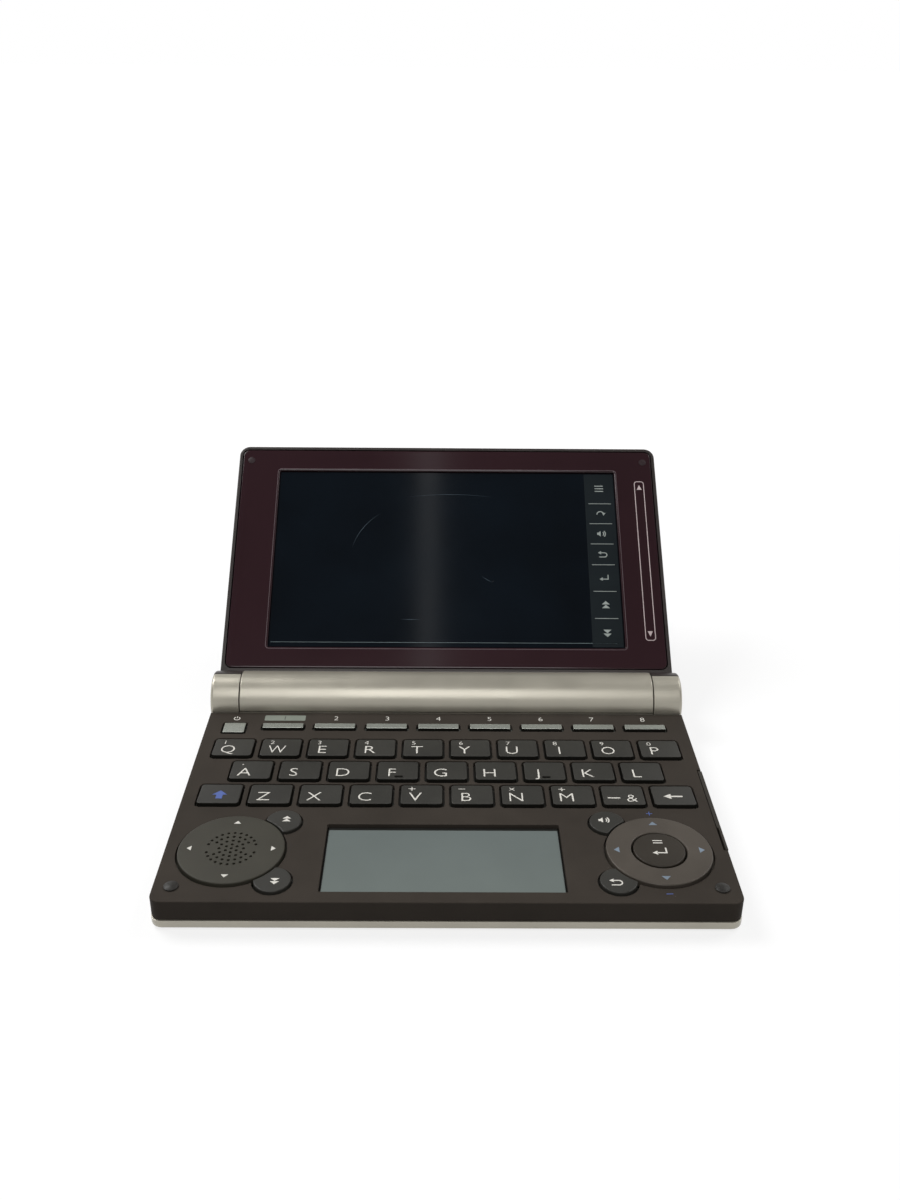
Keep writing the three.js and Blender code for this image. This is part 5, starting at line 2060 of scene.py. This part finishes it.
    def touch_strip(self, made: Workpiece, half: float, low: float, high: float) -> None:
        """Lays the touch strip with its lines and signs on the glass.

        Args:
            made: The screen.
            half: Half the glass's width.
            low: Its front edge.
            high: Its back edge.
        """
        middle, (side, ends) = (self.strip_left + half) / 2, self.strip_margins
        width, height = half - self.strip_left - side, high - low - ends
        strip = rounded_rectangle(width, height, self.strip_radius, middle, self.window[3])
        made.print_shape(strip, level(GLASS_FACE), STRIP_GLASS)
        over, (reach, thickness) = level(GLASS_FACE + INK), self.strip_line
        for along in self.strip_lines:
            line = stroke([(middle - reach, along), (middle + reach, along)], thickness)
            made.print_shape(line, over, GREY_INK)
        edges = [high, *self.strip_lines, low]
        rows = [(above + below) / 2 for above, below in zip(edges, edges[1:])]
        upright = (Sign.LIST, Sign.JUMP, Sign.SOUND, Sign.RETURN, Sign.ENTER, Sign.PAGES)
        signs = [*((sign, 0.0) for sign in upright), (Sign.PAGES, math.pi)]
        for along, (sign, turn) in zip(rows, signs):
            made.print_sign(sign, self.strip_sign, middle, along, over, GREY_INK, turn)

    def hinge_cap(self, side: int, node: str) -> None:
        """Builds a pale cap with its hub and hinge pin.

        Args:
            side: -1 at the left, 1 at the right.
            node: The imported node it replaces.
        """
        made = Workpiece(f"{node}_skin", LID_PLACE, CHAMPAGNE)
        near, far, wall = CAP_INSIDE, HALF_BASE, self.cap_wall
        inner, core = BARREL_RADIUS - wall, self.pin / 2
        corners = [(near, inner), (near, BARREL_RADIUS), (far, BARREL_RADIUS), (far, core)]
        profile = [(side * x, r) for x, r in [*corners, (far - wall, core), (far - wall, inner)]]
        start, end = self.arm_to + SEAM_ANGLE, self.arm_from + math.tau - SEAM_ANGLE
        made.turned(profile, LID_LINE, start, end, steps=76)
        made.round(self.end_rim, self.cap_round, segments=5)
        hub_span, pin_span = side_span(side, far - wall, far), side_span(side, self.pin_end, far - wall / 2)
        solids = tools(
            lambda hub: hub.rod(self.hub, *hub_span, LID_LINE, steps=56),
            lambda pin: pin.rod(self.pin, *pin_span, LID_LINE, steps=32),
        )
        made.combine(solids, Cut.ADD)
        made.finish(Body.LID, "pale_shell", [node])


@dataclass
class Internals:
    """What stays as packed, under the keys and in the barrel, with its own finishes."""

    finishes: tuple[tuple[str, Finish], ...] = (
        ("battery_left", CELL_SLEEVE),
        ("battery_right", CELL_SLEEVE),
        ("main_board", BOARD),
        ("speaker", SPEAKER_METAL),
    )

    def build(self) -> None:
        """Gives the carried-over nodes their finishes."""
        for node, finish in self.finishes:
            for slot in frame["nodes"][node].material_slots:
                slot.material = finish.material()
            LOG.info("%s: as packed", node)


# Studio


WHITE = (1.0, 1.0, 1.0, 1.0)


@dataclass(frozen=True)
class Lamp:
    """A soft lamp: its place and aim in metres, its width and length, and its power."""

    name: str
    place: Point
    aim: Point
    size: Flat
    power: float

    def build(self) -> None:
        """Hangs the lamp."""
        light = bpy.data.lights.new(self.name, "AREA")
        light.shape = "RECTANGLE"
        light.size, light.size_y = self.size
        light.energy = self.power
        holder = bpy.data.objects.new(self.name, light)
        turn = (Vector(self.place) - Vector(self.aim)).to_track_quat("Z", "Y")
        holder.matrix_world = Matrix.Translation(self.place) @ turn.to_matrix().to_4x4()
        bpy.context.scene.collection.objects.link(holder)


@dataclass
class Studio:
    """The pale floor, the soft lamps, the world and the camera."""

    lamps: tuple[Lamp, ...] = (
        Lamp("front_lamp", (-0.06, -0.8, 1.04), (0.0, 0.0, 0.0), (0.5, 0.8), 5.0),
        Lamp("strip_lamp", (-0.02, -0.20, 1.25), (-0.02, -0.2, 0.0), (0.024, 0.6), 0.07),
        Lamp("left_lamp", (-0.6, 0.36, 0.85), (0.0, 0.0, 0.0), (0.5, 0.5), 6.8),
        Lamp("right_lamp", (0.75, 0.42, 0.95), (0.0, 0.0, 0.0), (0.5, 0.5), 3.6),
    )
    ambient: Flat = (0.06, 0.4)
    mirrored: Flat = (1.0, 0.16)
    fade_rise: Flat = (0.1, 0.75)
    glow: Flat = (0.74, 1.0)
    glow_reach: Flat = (0.25, 1.0)
    floor_reach: float = 6.0
    floor_shade: float = 0.26
    floor_roughness: float = 0.9
    floor_specular: float = 0.1
    camera_place: Point = (-1.92797, -223.67589, 194.17733)
    camera_yaw: float = -0.00857
    camera_fall: float = 0.46019
    camera_roll: float = 0.00909
    lens: float = 34.95
    sensor: float = 36.0
    nearest: float = 0.01

    def build(self) -> None:
        """Builds the studio."""
        scene = bpy.context.scene
        scene.view_settings.view_transform = "Standard"
        for lamp in self.lamps:
            lamp.build()
        self.floor()
        self.world()
        self.camera()

    @staticmethod
    def seen(tree: NodeTree) -> NodeSocket:
        """A mask that is 1 for what the camera sees, straight, in a mirror or through glass.

        Args:
            tree: Tree that gets the nodes.

        Returns:
            The mask's socket.
        """
        path = add_node(tree, "ShaderNodeLightPath").outputs
        direct = calculated(tree, "MAXIMUM", path["Is Camera Ray"], path["Is Glossy Ray"])
        return calculated(tree, "MAXIMUM", direct, path["Is Transmission Ray"])

    def floor(self) -> None:
        """Lays the pale floor, which glows a little for the camera, and more where the lamps don't reach."""
        mesh = bmesh.new()
        bmesh.ops.create_grid(mesh, x_segments=1, y_segments=1, size=self.floor_reach)
        data = bpy.data.meshes.new("floor")
        mesh.to_mesh(data)
        mesh.free()
        made = bpy.data.materials.new("floor_paper")
        made.use_nodes = True
        tree = made.node_tree
        place = add_node(tree, "ShaderNodeTexCoord").outputs["Object"]
        apart = add_node(tree, "ShaderNodeVectorMath", {0: place}, operation="LENGTH").outputs["Value"]
        strength = ranged(tree, apart, self.glow_reach, *self.glow)
        surface = {
            "Base Color": (*[self.floor_shade] * 3, 1.0),
            "Roughness": self.floor_roughness,
            "Specular IOR Level": self.floor_specular,
            "Emission Color": WHITE,
            "Emission Strength": calculated(tree, "MULTIPLY", self.seen(tree), strength),
        }
        fill(tree, tree.nodes["Principled BSDF"], surface)
        data.materials.append(made)
        floor = bpy.data.objects.new("floor", data)
        bpy.context.scene.collection.objects.link(floor)

    def world(self) -> None:
        """Makes the surroundings: for what mirrors or sees them, white at the horizon and dim overhead."""
        world = bpy.data.worlds.new("surroundings")
        world.use_nodes = True
        tree = world.node_tree
        background = tree.nodes["Background"]
        direction = add_node(tree, "ShaderNodeTexCoord").outputs["Generated"]
        height = add_node(tree, "ShaderNodeSeparateXYZ", {0: direction}).outputs[2]
        diffuse = ranged(tree, height, self.fade_rise, *self.ambient)
        mirrored = ranged(tree, height, self.fade_rise, *self.mirrored)
        mixed = add_node(tree, "ShaderNodeMix", {0: self.seen(tree), 2: diffuse, 3: mirrored})
        fill(tree, background, {"Strength": mixed.outputs[0], "Color": WHITE})
        bpy.context.scene.world = world

    def camera(self) -> None:
        """Sets up the camera at the photograph's place."""
        data = bpy.data.cameras.new("camera")
        data.lens = self.lens
        data.sensor_fit = "AUTO"
        data.sensor_width = self.sensor
        data.clip_start = self.nearest
        camera = bpy.data.objects.new("camera", data)
        yaw = Matrix.Rotation(self.camera_yaw, 4, "Z")
        fall = Matrix.Rotation(math.pi / 2 - self.camera_fall, 4, "X")
        roll = Matrix.Rotation(self.camera_roll, 4, "Z")
        place = Matrix.Translation(BASE_PLACE @ Vector(self.camera_place))
        camera.matrix_world = place @ (yaw @ fall) @ roll
        bpy.context.scene.collection.objects.link(camera)
        bpy.context.scene.camera = camera


def main() -> None:
    """Builds the studio and the dictionary."""
    logging.basicConfig(level=logging.INFO, format="%(message)s")
    Studio().build()
    for kind in (DeckShell, LowerShell, Barrel, Keyboard, RoundControls, LowerDisplay, Pen, Lid, Internals):
        LOG.info("building %s", kind.__name__)
        kind().build()
    for known in [mesh for mesh in bpy.data.meshes if mesh.users == 0]:
        bpy.data.meshes.remove(known)


if __name__ == "__main__":
    main()
